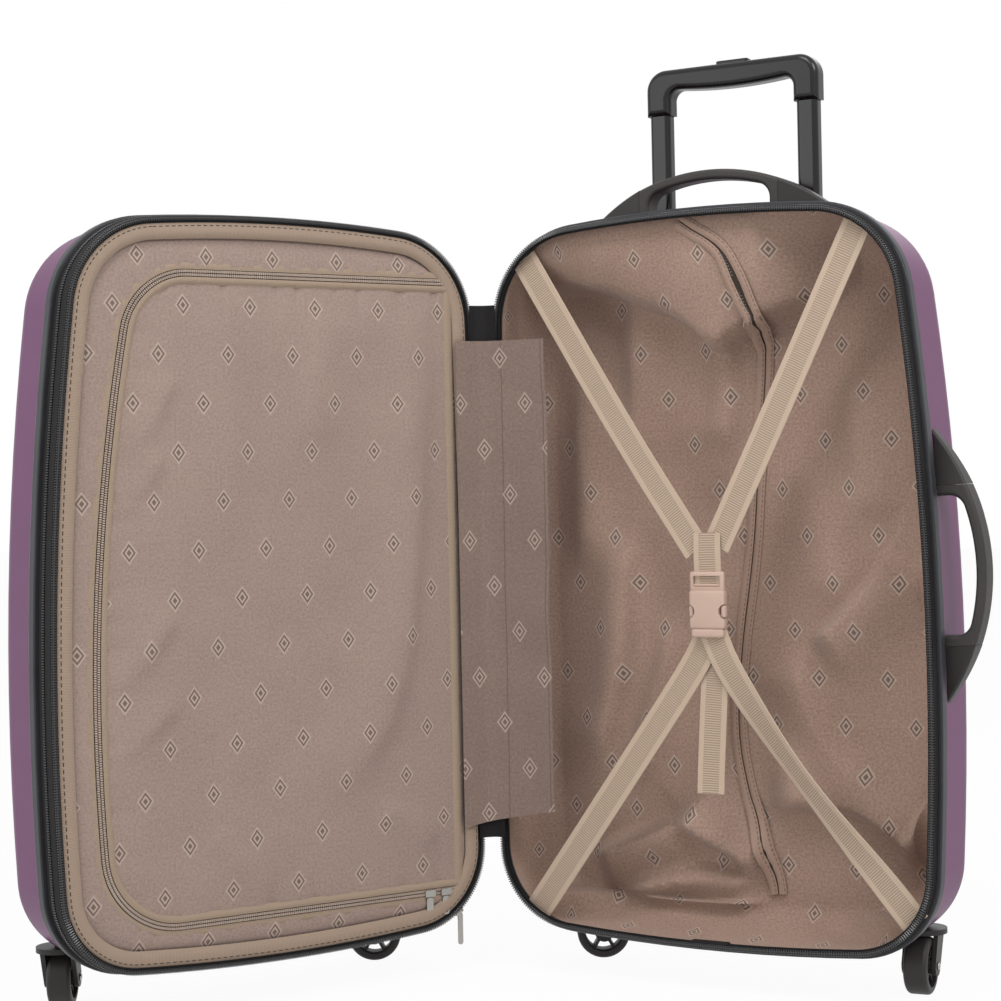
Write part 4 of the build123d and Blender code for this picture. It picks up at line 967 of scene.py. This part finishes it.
@dataclass(frozen=True)
class LiningSlit:
    """The zipped slit in the rear lining: two stitched plackets, a dark sheet of painted shade in the gap
    between them, and some coil.
    """

    line: Line = (
        (-20, 681), (-8, 672), (9, 662), (21, 651), (28, 635), (34, 618), (38, 604), (43, 592), (40, 584),
        (37, 577), (36, 563), (35, 540), (30, 492), (24, 420), (17, 366), (6, 288), (1, 222), (11, 171),
        (23, 143), (31, 117), (38, 94), (39, 78))
    count: int = 150
    rows: int = 7
    wide: float = 7.0
    gap: float = 1.1
    gaping_at: int = 19
    lift: float = 1.3
    thick: float = 0.8
    coil: ZipRow = ZipRow(2.6, 2.2, 1.7, 1.4)
    coil_span: tuple[int, int] = (12, 28)

    def build(self, points: np.ndarray) -> None:
        """Lays the slit on the lining.

        Args:
            points: The lining's half-frame points.
        """
        tree = KDTree(len(points))
        for index, point in enumerate(points):
            tree.insert((point[0], point[2], 0.0), index)
        tree.balance()
        path = cut_corners(self.line, 2)
        way = np.gradient(path, axis=0)
        across = np.stack([-way[:, 1], way[:, 0]], axis=1) / np.hypot(*way.T)[:, None]
        run = Track(path, across, False).even(self.count)
        gape = self.gap * (1 + 4.2 * np.exp(-((np.arange(self.count) - self.gaping_at) / 7.0) ** 2))
        lines = {"slit_placket_left": (gape / 2, self.wide, 0.0, PLACKET),
                 "slit_placket_right": (-gape / 2 - self.wide, self.wide, 0.0, PLACKET),
                 # The gap's dark sheet is painted shade of the slit's hollow
                 "slit_gap": (-gape * 0.7, gape * 1.4, 0.9, SLIT_SHADE_SHEET)}
        for name, (start, wide, sink, finish) in lines.items():
            rows = []
            for share in np.linspace(0.0, 1.0, self.rows):
                spots = run.at(start + wide * share, 0.0)
                deep = [min(points[index][1] for _, index, _ in tree.find_n((spot[0], spot[2], 0.0), 8))
                        for spot in spots]
                even = np.convolve(np.pad(deep, 3, mode="edge"), np.ones(7) / 7, mode="valid")
                deep = np.minimum(deep, even)
                crown = self.lift * (0.5 + math.sin(share * math.pi)) - sink
                rows.append(np.stack([spots[:, 0], deep - crown, spots[:, 2]], axis=1))
            spans = strip_places(run.lengths(), np.linspace(0.0, self.wide, self.rows))
            piece = grid_sheet(name, Half.REAR.place(np.array(rows)), spans, self.thick)
            dress(piece, finish, "rear_half", "lining")
        span = slice(*self.coil_span)
        upper = Track(run.points[span], run.normals[span], False)
        teeth = self.coil.build("slit_coil", Half.REAR, upper, 1.2, deep[span] - 0.9)
        dress(teeth, COIL, "rear_half", "lining")


@dataclass(frozen=True)
class Strap:
    """A length of webbing along a line, with a turn about its own run."""

    name: str
    node: str
    line: Line
    wide: float = 26.0
    thick: float = 1.3
    twist: float = 0.0
    held: str = "stretched"
    inset: float = 6.0
    step: float = 4.0
    samples: int = 400
    rim_points: int = 720
    lines: int = 7
    edge_radius: float = 0.4

    def build(self) -> None:
        path = cut_corners(self.line, 3)
        path = read_off(np.linspace(0.0, 1.0, self.samples) * (len(path) - 1), np.arange(len(path)), path)
        rim = OUTLINE.track(self.rim_points)
        away = path[:, None, [0, 2]] - rim.points[None]
        nearest = np.argmin(np.hypot(away[..., 0], away[..., 1]), axis=1)
        inside = -np.einsum("ij,ij->i", away[np.arange(len(path)), nearest], rim.normals[nearest])
        path = path[inside >= self.inset]
        lengths = run_lengths(path)
        steps = np.linspace(0.0, lengths[-1], max(int(lengths[-1] / self.step), 8))
        path = read_off(steps, lengths, path)
        way = np.gradient(path, axis=0)
        way /= np.linalg.norm(way, axis=1)[:, None]
        side = np.cross(way, np.array([0.0, 1.0, 0.0]))
        side /= np.linalg.norm(side, axis=1)[:, None]
        up = np.cross(side, way)
        angle = math.radians(self.twist) * np.sin(steps / lengths[-1] * math.pi) ** 2
        side = side * np.cos(angle)[:, None] + up * np.sin(angle)[:, None]
        spots = np.linspace(-self.wide / 2, self.wide / 2, self.lines)
        points = path[None] + side[None] * spots[:, None, None]
        strap = grid_sheet(self.name, Half.REAR.place(points), strip_places(steps, spots), self.thick)
        apply_modifier(strap, "BEVEL", width=self.edge_radius * MM, segments=2, limit_method="ANGLE",
                       angle_limit=math.radians(60))
        dress(strap, WEBBING, "rear_half", "webbing", self.node)


STRAPS = (
    Strap("upper_left_strap", "strap_upper_left",
          ((-206, 11.5, 704), (-173, 9.5, 650), (-75, 8.2, 490), (-6, 7.6, 388))),
    Strap("upper_right_strap", "strap_upper_right",
          ((172, 11.5, 712), (145, 9.5, 658), (66, 8.6, 498), (12, 8.6, 392))),
    Strap("lower_left_strap", "strap_lower_left",
          ((-196, 11.5, 32), (-169, 9.8, 67.5), (-70, 9.0, 204), (-4, 8.4, 296), (3, 8.0, 318))),
    Strap("lower_right_strap", "strap_lower_right",
          ((212, 11.5, 42), (185, 10.0, 80), (90, 10.0, 186), (24, 6.4, 280), (8, 5.6, 318)), twist=32.0),
    Strap("keeper_strap", "strap_keeper", ((4, 6.8, 404), (4, 6.0, 392), (4.5, 5.6, 376), (5, 6.4, 354))),
    Strap("strap_end", "strap_tail",
          ((6, 10.2, 322), (8, 11.2, 290), (5, 10.4, 240), (3, 8.0, 190), (3, 6.8, 174)), held="hung"),
)


@dataclass(frozen=True)
class DividerOutline:
    """The divider's door: upright on the hinge side, bowed with the case on the opening side."""

    hinge: float = -182.0
    outer: float = 167.5
    widest: float = 262.0
    bow: float = 1700.0
    low: float = 82.0
    high: float = 634.0
    low_corner: float = 60.0
    high_corner: float = 46.0
    count: int = 320

    def edge(self, height: float) -> float:
        """How far across the door reaches at a height, its bow and its round corners taken off.

        Args:
            height: Height above the floor.

        Returns:
            Where its edge lies, across.
        """
        reach = self.outer - (height - self.widest) ** 2 / (2 * self.bow)
        low = height < self.widest
        corner = self.low_corner if low else self.high_corner
        rest = height - self.low if low else self.high - height
        if rest >= corner:
            return reach
        return reach - corner + math.sqrt(max(corner**2 - (corner - rest) ** 2, 0.0))

    def heights(self, corners: tuple[float, float], steps: int, margin: float, between: int) -> np.ndarray:
        """Heights of a line up the door, close together at its round corners.

        Args:
            corners: Height of the lower and of the upper corner.
            steps: How many heights each corner gets.
            margin: How far from the corners the even heights between them start.
            between: How many those are.

        Returns:
            The heights, from the foot up.
        """
        turn = 1 - np.cos(np.linspace(0, math.pi / 2, steps))
        middle = np.linspace(self.low + corners[0] + margin, self.high - corners[1] - margin, between)
        return np.concatenate([self.low + corners[0] * turn, middle, self.high - corners[1] * turn[::-1]])

    def track(self, grow: float) -> Track:
        """The zipped run along the bottom, the opening side and the top.

        Args:
            grow: How far outside the door's edge it runs.

        Returns:
            An open track, from the hinge side's foot round to its top.
        """
        heights = self.heights((self.low_corner, self.high_corner), 16, 4.0, 40)
        side = np.array([(self.edge(height), height) for height in heights])
        foot = np.stack([np.linspace(self.hinge, side[0, 0], 30)[:-1], np.full(29, self.low)], axis=1)
        head = np.stack([np.linspace(side[-1, 0], self.hinge, 30)[1:], np.full(29, self.high)], axis=1)
        points = np.vstack([foot, side, head])
        way = np.gradient(points, axis=0)
        normals = np.stack([way[:, 1], -way[:, 0]], axis=1)
        normals /= np.hypot(*normals.T)[:, None]
        for _ in range(3):
            normals[1:-1] = (normals[:-2] + normals[1:-1] + normals[2:]) / 3
        normals /= np.hypot(*normals.T)[:, None]
        return Track(points + normals * grow, normals, False).even(self.count)


PANEL_FOLDS = (
    Fold(((-160, 605), (-150, 520), (-138, 381), (-118, 261), (-80, 205), (-30, 169)), 6.5, 34, 15),
    Fold(((163, 277), (140, 297), (121, 316), (95, 350)), 3.6, 8, 16),
    Fold(((164, 219), (130, 245), (95, 272)), 4.0, 8, 18),
    Fold(((153, 430), (127, 452), (105, 485)), 3.6, 8, 16),
    Fold(((138, 486), (117, 507), (95, 550)), 3.6, 8, 16),
    Fold(((60, 620), (40, 540), (48, 430)), 2.6, 28, 18),
    Fold(((-60, 625), (-48, 560), (-40, 480)), 2.8, 16, 24),
    Fold(((-162, 121), (-130, 150), (-95, 165)), 4.0, 10, 16),
    Fold(((20, 90), (40, 130), (70, 160)), 3.0, 12, 16),
)


def puckers(spots: np.ndarray, seed: int, step: float) -> np.ndarray:
    """Uneven gathers along a seam: narrow dips at irregular steps.

    Args:
        spots: Distances along the seam, in millimetres.
        seed: Seed of their places.
        step: Their mean distance.

    Returns:
        The dip at each distance, up to about one.
    """
    rng = np.random.default_rng(seed)
    places = np.arange(-300.0, 2200.0, step)
    places = places + rng.uniform(-0.35, 0.35, len(places)) * step
    sizes = rng.uniform(0.35, 1.0, len(places))
    widths = rng.uniform(0.08, 0.2, len(places)) * step
    return np.sum(sizes * np.exp(-((spots[..., None] - places) / widths) ** 2), axis=-1)


@dataclass(frozen=True)
class Divider:
    """The front half's divider: bound border, zip and the cloth door."""

    door: DividerOutline = DividerOutline()
    teeth: ZipRow = ZipRow(2.0, 2.6, 1.5, 1.8)
    count: int = 420
    columns: int = 120
    border_rows: int = 23
    border_inset: float = 21.0
    zip_grow: float = 9.0
    gathering: float = 34.0
    binding: Line = ((9.8, 4.8), (11.0, 2.9), (14.0, 2.0), (18.0, 1.7), (21.6, 2.3), (23.4, 4.4))
    hinge_binding: Line = ((-5.0, 5.2), (-3.5, 3.4), (0.0, 2.8), (3.0, 3.2), (4.6, 5.0))
    outer_tape: Line = ((-3.4, 5.8), (-2.0, 4.2), (0.6, 3.8), (2.8, 4.0))
    inner_tape: Line = ((0.8, 3.0), (2.6, 2.2), (5.0, 2.6), (6.8, 4.6))
    # Cross-section of the black strip under the zip: painted shade in its gaps
    gap_shade: Line = ((-4.0, 4.4), (4.0, 4.4))

    def border(self) -> None:
        """Builds the cloth between the binding and the zip, gathered towards the zip."""
        run = OUTLINE.track(self.count)
        heights = np.linspace(self.door.high, self.door.low, 60)[1:-1]
        hinge_side = np.stack([np.full(58, self.door.hinge - 2.0), heights], axis=1)
        inner = np.vstack([self.door.track(self.zip_grow).points, hinge_side])
        outer = run.points - run.normals * self.border_inset
        middle = np.array([0.0, 362.0])
        angles, wanted = (np.arctan2(*((points - middle) / size).T[::-1])
                          for points, size in ((inner, (180.0, 290.0)), (outer, (194.0, 308.0))))
        order = np.argsort(angles)
        target = np.stack([np.interp(wanted, angles[order], inner[order, axis], period=2 * math.pi)
                           for axis in (0, 1)], axis=1)
        rows, spans = [], []
        gathers = puckers(run.lengths()[:-1], 5, 26.0)
        for share in np.linspace(0.0, 1.0, self.border_rows):
            flat = outer + (target - outer) * share
            slope = 8.4 - 4.6 * share - 1.2 * math.sin(share * math.pi)
            rows.append(np.stack([flat[:, 0], slope + 2.4 * gathers * share**2, flat[:, 1]], axis=1))
            spans.append(flat)
        points, spots = close_ring(np.array(rows)), close_ring(np.array(spans))
        cloth = grid_sheet("divider_frame_cloth", Half.FRONT.place(points), spots, 0.9)
        # The divider's cloth is drawn darker as painted shade
        dress(cloth, PANEL, "front_frame", "lining", "divider_border")

    def panel(self) -> None:
        """Builds the door's cloth, puckered along its zip and slightly slack between."""
        low, high = self.door.low, self.door.high
        rows, spans = [], []
        for height in self.door.heights((60.0, 60.0), 24, 4.0, 120):
            reach = self.door.edge(height)
            across = self.door.hinge + (reach - self.door.hinge) * np.linspace(0.0, 1.0, self.columns)
            spots = np.stack([across, np.full(len(across), height)], axis=1)
            gathers = (puckers(across, 1, self.gathering) * np.exp((height - high) / 17)
                       + puckers(across, 2, self.gathering) * np.exp((low - height) / 17)
                       + puckers(spots[:, 1], 3, self.gathering) * np.exp((across - reach) / 15))
            slack = 1.6 * np.sin(height / 61 + across / 47) + 1.1 * np.sin(across / 31 - height / 90)
            edge = np.minimum(reach - across, across - self.door.hinge + 4.0)
            edge = np.minimum(edge, min(height - low, high - height))
            swell = 3.4 * np.clip(edge / 40, 0.0, 1.0) ** 0.6
            folds = (0.6 * slack + lift_by(PANEL_FOLDS, spots)) * np.clip(edge / 50, 0.0, 1.0)
            rows.append(np.stack([across, 5.2 - swell - folds + 3.0 * gathers, spots[:, 1]], axis=1))
            spans.append(spots)
        panel = grid_sheet("divider_panel", Half.FRONT.place(np.array(rows)), np.array(spans), 1.0)
        # The divider's cloth is drawn darker as painted shade
        dress(panel, PANEL, "divider_door", "lining", "divider_door")

    def build(self) -> None:
        """Builds every piece of the divider."""
        bound = band("divider_binding", Half.FRONT, OUTLINE.track(self.count), self.binding, 1.0)
        dress(bound, BINDING, "front_frame", "lining")
        self.border()
        self.panel()
        outer = band("divider_tape_outer", Half.FRONT, self.door.track(self.zip_grow), self.outer_tape, 0.8)
        dress(outer, PIPING, "front_frame", "divider_zip", "divider_zip")
        inner = band("divider_tape_inner", Half.FRONT, self.door.track(0.0), self.inner_tape, 0.8)
        dress(inner, PIPING, "divider_door", "divider_zip")
        # A black strip under the zip, seen through the gaps between tapes and coils: painted shade
        gap_shade_strip = band("divider_zip_bed", Half.FRONT, self.door.track(2.8), self.gap_shade, 0.6)
        dress(gap_shade_strip, BLACK_TAPE, "front_frame", "divider_zip")
        for word, grow, body in (("outer", 4.3, "front_frame"), ("inner", 1.2, "divider_door")):
            row = self.teeth.build(f"divider_coil_{word}", Half.FRONT, self.door.track(grow), 0.0, 3.2)
            dress(row, TAN_COIL, body, "divider_zip")
        heights = np.linspace(self.door.low - 4, self.door.high + 4, 60)
        edge = np.stack([np.full(60, self.door.hinge), heights], axis=1)
        run = Track(edge, np.tile([-1.0, 0.0], (60, 1)), False)
        bound = band("divider_hinge_binding", Half.FRONT, run, self.hinge_binding, 1.0)
        dress(bound, PIPING, "front_frame", "lining")


@dataclass(frozen=True)
class HingeSheet:
    """A sheet from the front half across the hinge line to the rear half, bent with the hinge."""

    name: str
    node: str
    low: tuple[float, float]
    high: float
    reach: tuple[float, float]
    lift: float
    sink: tuple[float, float]
    wave: float = 0.0
    thick: float = 0.9
    bend: tuple[float, float] = (9.0, 14.0)
    columns: int = 41
    rows: int = 90

    def build(self, finish: Finish, slot: str) -> Piece:
        """Builds the sheet: its rear side hangs behind the zip line by its sink, half way and at its edge.

        Args:
            finish: Its finish.
            slot: The record's material slot.

        Returns:
            The new object.
        """
        forth = np.array([-math.cos(OPEN_TURN), -math.sin(OPEN_TURN)])
        out = np.array([math.sin(OPEN_TURN), -math.cos(OPEN_TURN)])
        front, rear = self.reach
        crease = np.array([self.lift * math.tan((math.pi / 2 - OPEN_TURN) / 2) + 3.0, -self.lift - 1.0])
        line = cut_corners((forth * front + out * self.lift * 0.5, forth * front * 0.55 + out * self.lift,
                            crease, (rear * 0.5, self.sink[0]), (rear, self.sink[1])), 3)
        lengths = run_lengths(line)
        steps = np.linspace(0.0, lengths[-1], self.columns)
        line = read_off(steps, lengths, line)
        shares = steps / lengths[-1]
        foot = self.low[0] + (self.low[1] - self.low[0]) * shares
        rows, spans = [], []
        for up in np.linspace(0.0, 1.0, self.rows):
            height = foot + (self.high - foot) * up
            slack = np.sin(height / 37 + shares * 2) * shares + 0.5 * np.sin(height / 19) * shares**2
            slack *= self.wave
            rows.append(np.stack([line[:, 0] + slack * 0.4, line[:, 1] - np.abs(slack), height], axis=1))
            spans.append(np.stack([steps, height], axis=1))
        points = np.array(rows) * MM + np.array([HINGE_LINE.x, HINGE_LINE.y, 0.0])
        piece = grid_sheet(self.name, points, np.array(spans), self.thick)
        dress(piece, finish, "", slot, self.node)
        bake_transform(piece)
        return piece


HINGE_WEB = HingeSheet("hinge_cloth", "hinge_web", (124.0, 124.0), 616.0, (14.0, 14.0), 0.6, (-0.6, -0.24))
HINGE_COVER = HingeSheet("hinge_cover", "hinge_flap", (135.0, 150.0), 583.0, (31.0, 64.0), 3.2, (2.0, 4.6),
                         1.4)


def block(name: str, size: tuple[float, float, float], spot: tuple[float, float, float],
          rounded: float) -> Piece:
    """A rounded block in the rear half.

    Args:
        name: The piece's name.
        size: Its size across, deep and up, in millimetres.
        spot: Its middle in the half.
        rounded: Radius of its edges.

    Returns:
        The new object.
    """
    deselect()
    place = Half.REAR.place(np.array(spot, dtype=float))
    bpy.ops.mesh.primitive_cube_add(size=1.0, scale=tuple(part * MM for part in size), location=tuple(place))
    piece = bpy.context.object
    piece.name = name
    bpy.ops.object.transform_apply(location=True, rotation=True, scale=True)
    bevel_edges(rounded * MM, 4)
    return piece


def join(name: str, parts: list[Piece]) -> Piece:
    """Joins parts into one piece with smooth rounded edges.

    Args:
        name: The piece's name.
        parts: The parts, the first of which stays.

    Returns:
        The joined object.
    """
    select_only(parts[0])
    for part in parts:
        part.select_set(True)
    bpy.ops.object.join()
    parts[0].name = name
    bpy.ops.object.shade_smooth_by_angle(angle=math.radians(35))
    return parts[0]


@dataclass(frozen=True)
class Buckle:
    """The side release buckle: a loop for the strap, a body notched at its sides, and the plug's arms."""

    across: float = 5.0
    deep: float = 4.6
    body_width: float = 34.0
    notch: float = 6.6

    def cut(self, piece: Piece, tool: Piece) -> None:
        """Cuts a tool out of a piece and removes the tool."""
        apply_modifier(piece, "BOOLEAN", object=tool, operation="DIFFERENCE", solver="EXACT")
        bpy.data.objects.remove(tool)

    def build(self) -> None:
        """Builds the socket and the plug."""
        body = block("buckle_shell", (self.body_width, 9.0, 34.0), (self.across, self.deep, 336.5), 2.4)
        for side in (-1, 1):
            spot = np.array([self.across + side * (self.body_width / 2 + 1.0), self.deep, 335.0])
            deselect()
            bpy.ops.mesh.primitive_cylinder_add(vertices=40, radius=self.notch * MM, depth=30 * MM,
                                                location=tuple(Half.REAR.place(spot)),
                                                rotation=(math.pi / 2, 0.0, 0.0))
            self.cut(body, bpy.context.object)
        loop = block("buckle_loop", (33.0, 5.0, 19.0), (self.across - 0.5, self.deep + 0.6, 360.5), 2.0)
        self.cut(loop, block("loop_window", (26.0, 14.0, 9.5), (self.across - 0.5, self.deep, 361.5), 1.2))
        bar = block("buckle_bar", (28.0, 3.0, 2.6), (self.across - 0.5, self.deep + 1.0, 358.0), 0.9)
        dress(join("buckle_female", [body, loop, bar]), ACETAL, "rear_half", "buckle", "buckle_socket")
        lip = block("buckle_lip", (31.0, 8.4, 8.0), (self.across, self.deep, 316.0), 2.2)
        arms = [block("buckle_arm", (4.4, 6.6, 11.0), (self.across + side * 15.5, self.deep, 335.0), 2.0)
                for side in (-1, 1)]
        dress(join("buckle_male", [lip, *arms]), ACETAL, "rear_half", "buckle", "buckle_plug")


@dataclass(frozen=True)
class AxleScrews:
    """Domed screw heads on the caster axles."""

    radius: float = 3.4
    out: float = 15.7
    dome: float = 0.42

    def build(self) -> None:
        """Builds a head at each end of the four axles."""
        for corner in ("rear_inner", "rear_outer", "front_inner", "front_outer"):
            joint = next(item for item in frame["joints"] if item["name"] == f"roll_{corner}")
            axis = Vector(joint["axis"]).normalized()
            for side, word in ((-1, "left"), (1, "right")):
                deselect()
                bpy.ops.mesh.primitive_uv_sphere_add(segments=16, ring_count=8, radius=self.radius * MM)
                head = bpy.context.object
                head.name = f"axle_screw_{corner}_{word}"
                head.scale = (1.0, 1.0, self.dome)
                head.rotation_euler = axis.to_track_quat("Z", "Y").to_euler()
                head.location = Vector(joint["pos_m"]) + axis * side * self.out * MM
                bpy.ops.object.transform_apply(location=True, rotation=True, scale=True)
                bpy.ops.object.shade_smooth()
                dress(head, ZINC, f"caster_{corner}", "zip_pull")


@dataclass(frozen=True)
class RigidPieces:
    """The CAD nodes whose shapes stay, each with its finish."""

    def build(self) -> None:
        """Gives every rigid node its material; those that no finish names are nylon."""
        finishes = {
            SHELL: ("rear_shell", "front_shell"),
            TRIM: ("rear_rim", "front_rim"),
            TUBE: ("trolley_outer_tubes", "trolley_mid_tubes", "trolley_inner_tubes"),
            GRIP: ("trolley_grip", "release_button", "trolley_bezel"),
            SOFT_GRIP: ("top_handle_grip", "side_handle_grip"),
            ZINC: ("divider_sliders", "divider_pull_left", "divider_pull_right", "main_slider", "main_pull"),
            STEEL: ("release_rods", "lock_plugs"),
            TYRE: tuple(name for name in frame["nodes"] if name.startswith("caster_wheel")),
        }
        finished = {node: finish for finish, nodes in finishes.items() for node in nodes}
        for name, node in frame["nodes"].items():
            node.data.materials.clear()
            node.data.materials.append(finished.get(name, NYLON).material())


@dataclass(frozen=True)
class Studio:
    """White floor and world, soft lamps and the photograph's camera."""

    distance: float = 2.07343
    azimuth: float = math.radians(30.997)
    height: float = 0.448127
    yaw: float = -0.38
    pitch: float = -0.349
    roll: float = -1.191
    focal: float = 2235.566
    frame_width: int = 1001
    sensor: float = 36.0
    sky_light: float = 0.57
    floor_glow: float = 0.95
    floor_size: float = 24.0
    floor_grey: float = 0.85
    aim_height: float = 0.4

    def camera(self) -> None:
        """Sets the camera at the photograph's viewpoint."""
        spot = HINGE_LINE + self.distance * Vector((math.sin(self.azimuth), -math.cos(self.azimuth), 0.0))
        spot.z = self.height
        lens = bpy.data.cameras.new("camera")
        lens.sensor_fit = "HORIZONTAL"
        lens.sensor_width = self.sensor
        lens.lens = self.sensor * self.focal / self.frame_width
        lens.clip_end = 60.0
        camera = bpy.data.objects.new("camera", lens)
        bpy.context.scene.collection.objects.link(camera)
        camera.matrix_world = (Matrix.Translation(spot)
                               @ Matrix.Rotation(self.azimuth + math.radians(self.yaw), 4, "Z")
                               @ Matrix.Rotation(math.radians(90 + self.pitch), 4, "X")
                               @ Matrix.Rotation(math.radians(self.roll), 4, "Z"))
        bpy.context.scene.camera = camera

    def backdrop(self) -> None:
        """Makes a white world and floor; the floor keeps a little of the shadow."""
        world = bpy.data.worlds.new("white studio")
        bpy.context.scene.world = world
        world.use_nodes = True
        add = partial(add_node, world.node_tree)
        path = add("LightPath").node.outputs
        seen = add("Math MAXIMUM", {0: path["Is Camera Ray"], 1: path["Is Glossy Ray"]})
        shown = add("Math MAXIMUM", {0: seen, 1: path["Is Transmission Ray"]})
        level = add("MapRange", {0: shown, 3: self.sky_light, 4: 1.0})
        feed(world.node_tree.nodes["Background"], {"Color": "ffffff", "Strength": level})
        deselect()
        bpy.ops.mesh.primitive_plane_add(size=self.floor_size)
        floor = bpy.context.object
        floor.name = "studio_floor"
        material = bpy.data.materials.new("white floor paint")
        material.use_nodes = True
        tree = material.node_tree
        tree.nodes.remove(tree.nodes["Principled BSDF"])
        add = partial(add_node, tree)
        matt = add("BsdfDiffuse", {"Color": (*[self.floor_grey] * 3, 1.0)})
        glow = add("Emission", {"Color": "ffffff", "Strength": 1.0})
        path = add("LightPath").node.outputs
        seen = add("Math MAXIMUM", {0: path["Is Camera Ray"], 1: path["Is Glossy Ray"]})
        share = add("Math MULTIPLY", {0: seen, 1: self.floor_glow})
        both = add("MixShader", {0: share, 1: matt, 2: glow})
        feed(tree.nodes["Material Output"], {"Surface": both})
        floor.data.materials.append(material)

    def lamps(self) -> None:
        """Hangs soft lamps round the case, each with its swing, distance, height, size and power."""
        aim = HINGE_LINE.copy()
        aim.z = self.aim_height
        lamps = {"key": (38.0, 1.9, 1.9, 0.8, 20.0), "top": (-14.0, 1.1, 2.2, 0.8, 16.0),
                 "left": (-60.0, 2.0, 1.0, 1.2, 8.0), "back": (160.0, 2.2, 1.6, 1.6, 8.0)}
        for name, (swing, far, high, size, power) in lamps.items():
            data = bpy.data.lights.new(f"{name}_lamp", "AREA")
            data.energy = power
            data.size = size
            lamp = bpy.data.objects.new(f"{name}_lamp", data)
            bpy.context.scene.collection.objects.link(lamp)
            angle = self.azimuth + math.radians(swing)
            spot = Vector((aim.x + far * math.sin(angle), aim.y - far * math.cos(angle), high))
            turn = (aim - spot).to_track_quat("-Z", "Y").to_matrix().to_4x4()
            lamp.matrix_world = Matrix.Translation(spot) @ turn

    def build(self) -> None:
        """Sets up the camera, the backdrop and the lamps."""
        self.camera()
        self.backdrop()
        self.lamps()
        bpy.context.scene.view_settings.view_transform = "Standard"


def main() -> None:
    """Dresses the case piece by piece and sets the studio."""
    logging.basicConfig(level=logging.INFO, format="%(name)s %(message)s")
    Studio().build()
    RigidPieces().build()
    MainZip().build()
    rear = LiningTray("rear_cloth", Half.REAR, "rear_half", "rear_lining", 13.4, 71.0, REAR_FOLDS,
                      corner=30.0, top_corner=52.0, sag=REAR_SAG)
    LiningSlit().build(rear.build("rear_shell"))
    front = LiningTray("front_cloth", Half.FRONT, "front_case", "front_lining", 34.6, 121.0, ripple=1.0,
                       around=260, across=60, well_depth=106.0)
    front.build("front_shell")
    for strap in STRAPS:
        strap.build()
    Buckle().build()
    dress(block("zip_end_tab", (36.0, 9.0, 6.0), (-0.5, 6.5, 41.0), 1.2), BLACK_TAPE, "rear_half", "zip_tape")
    Divider().build()
    HINGE_WEB.build(BLACK_TAPE, "zip_tape")
    # The hinge cover's cloth is darkened as painted shade of the fold
    HINGE_COVER.build(FLAP_SHADED_CLOTH, "lining")
    AxleScrews().build()


if __name__ == "__main__":
    main()
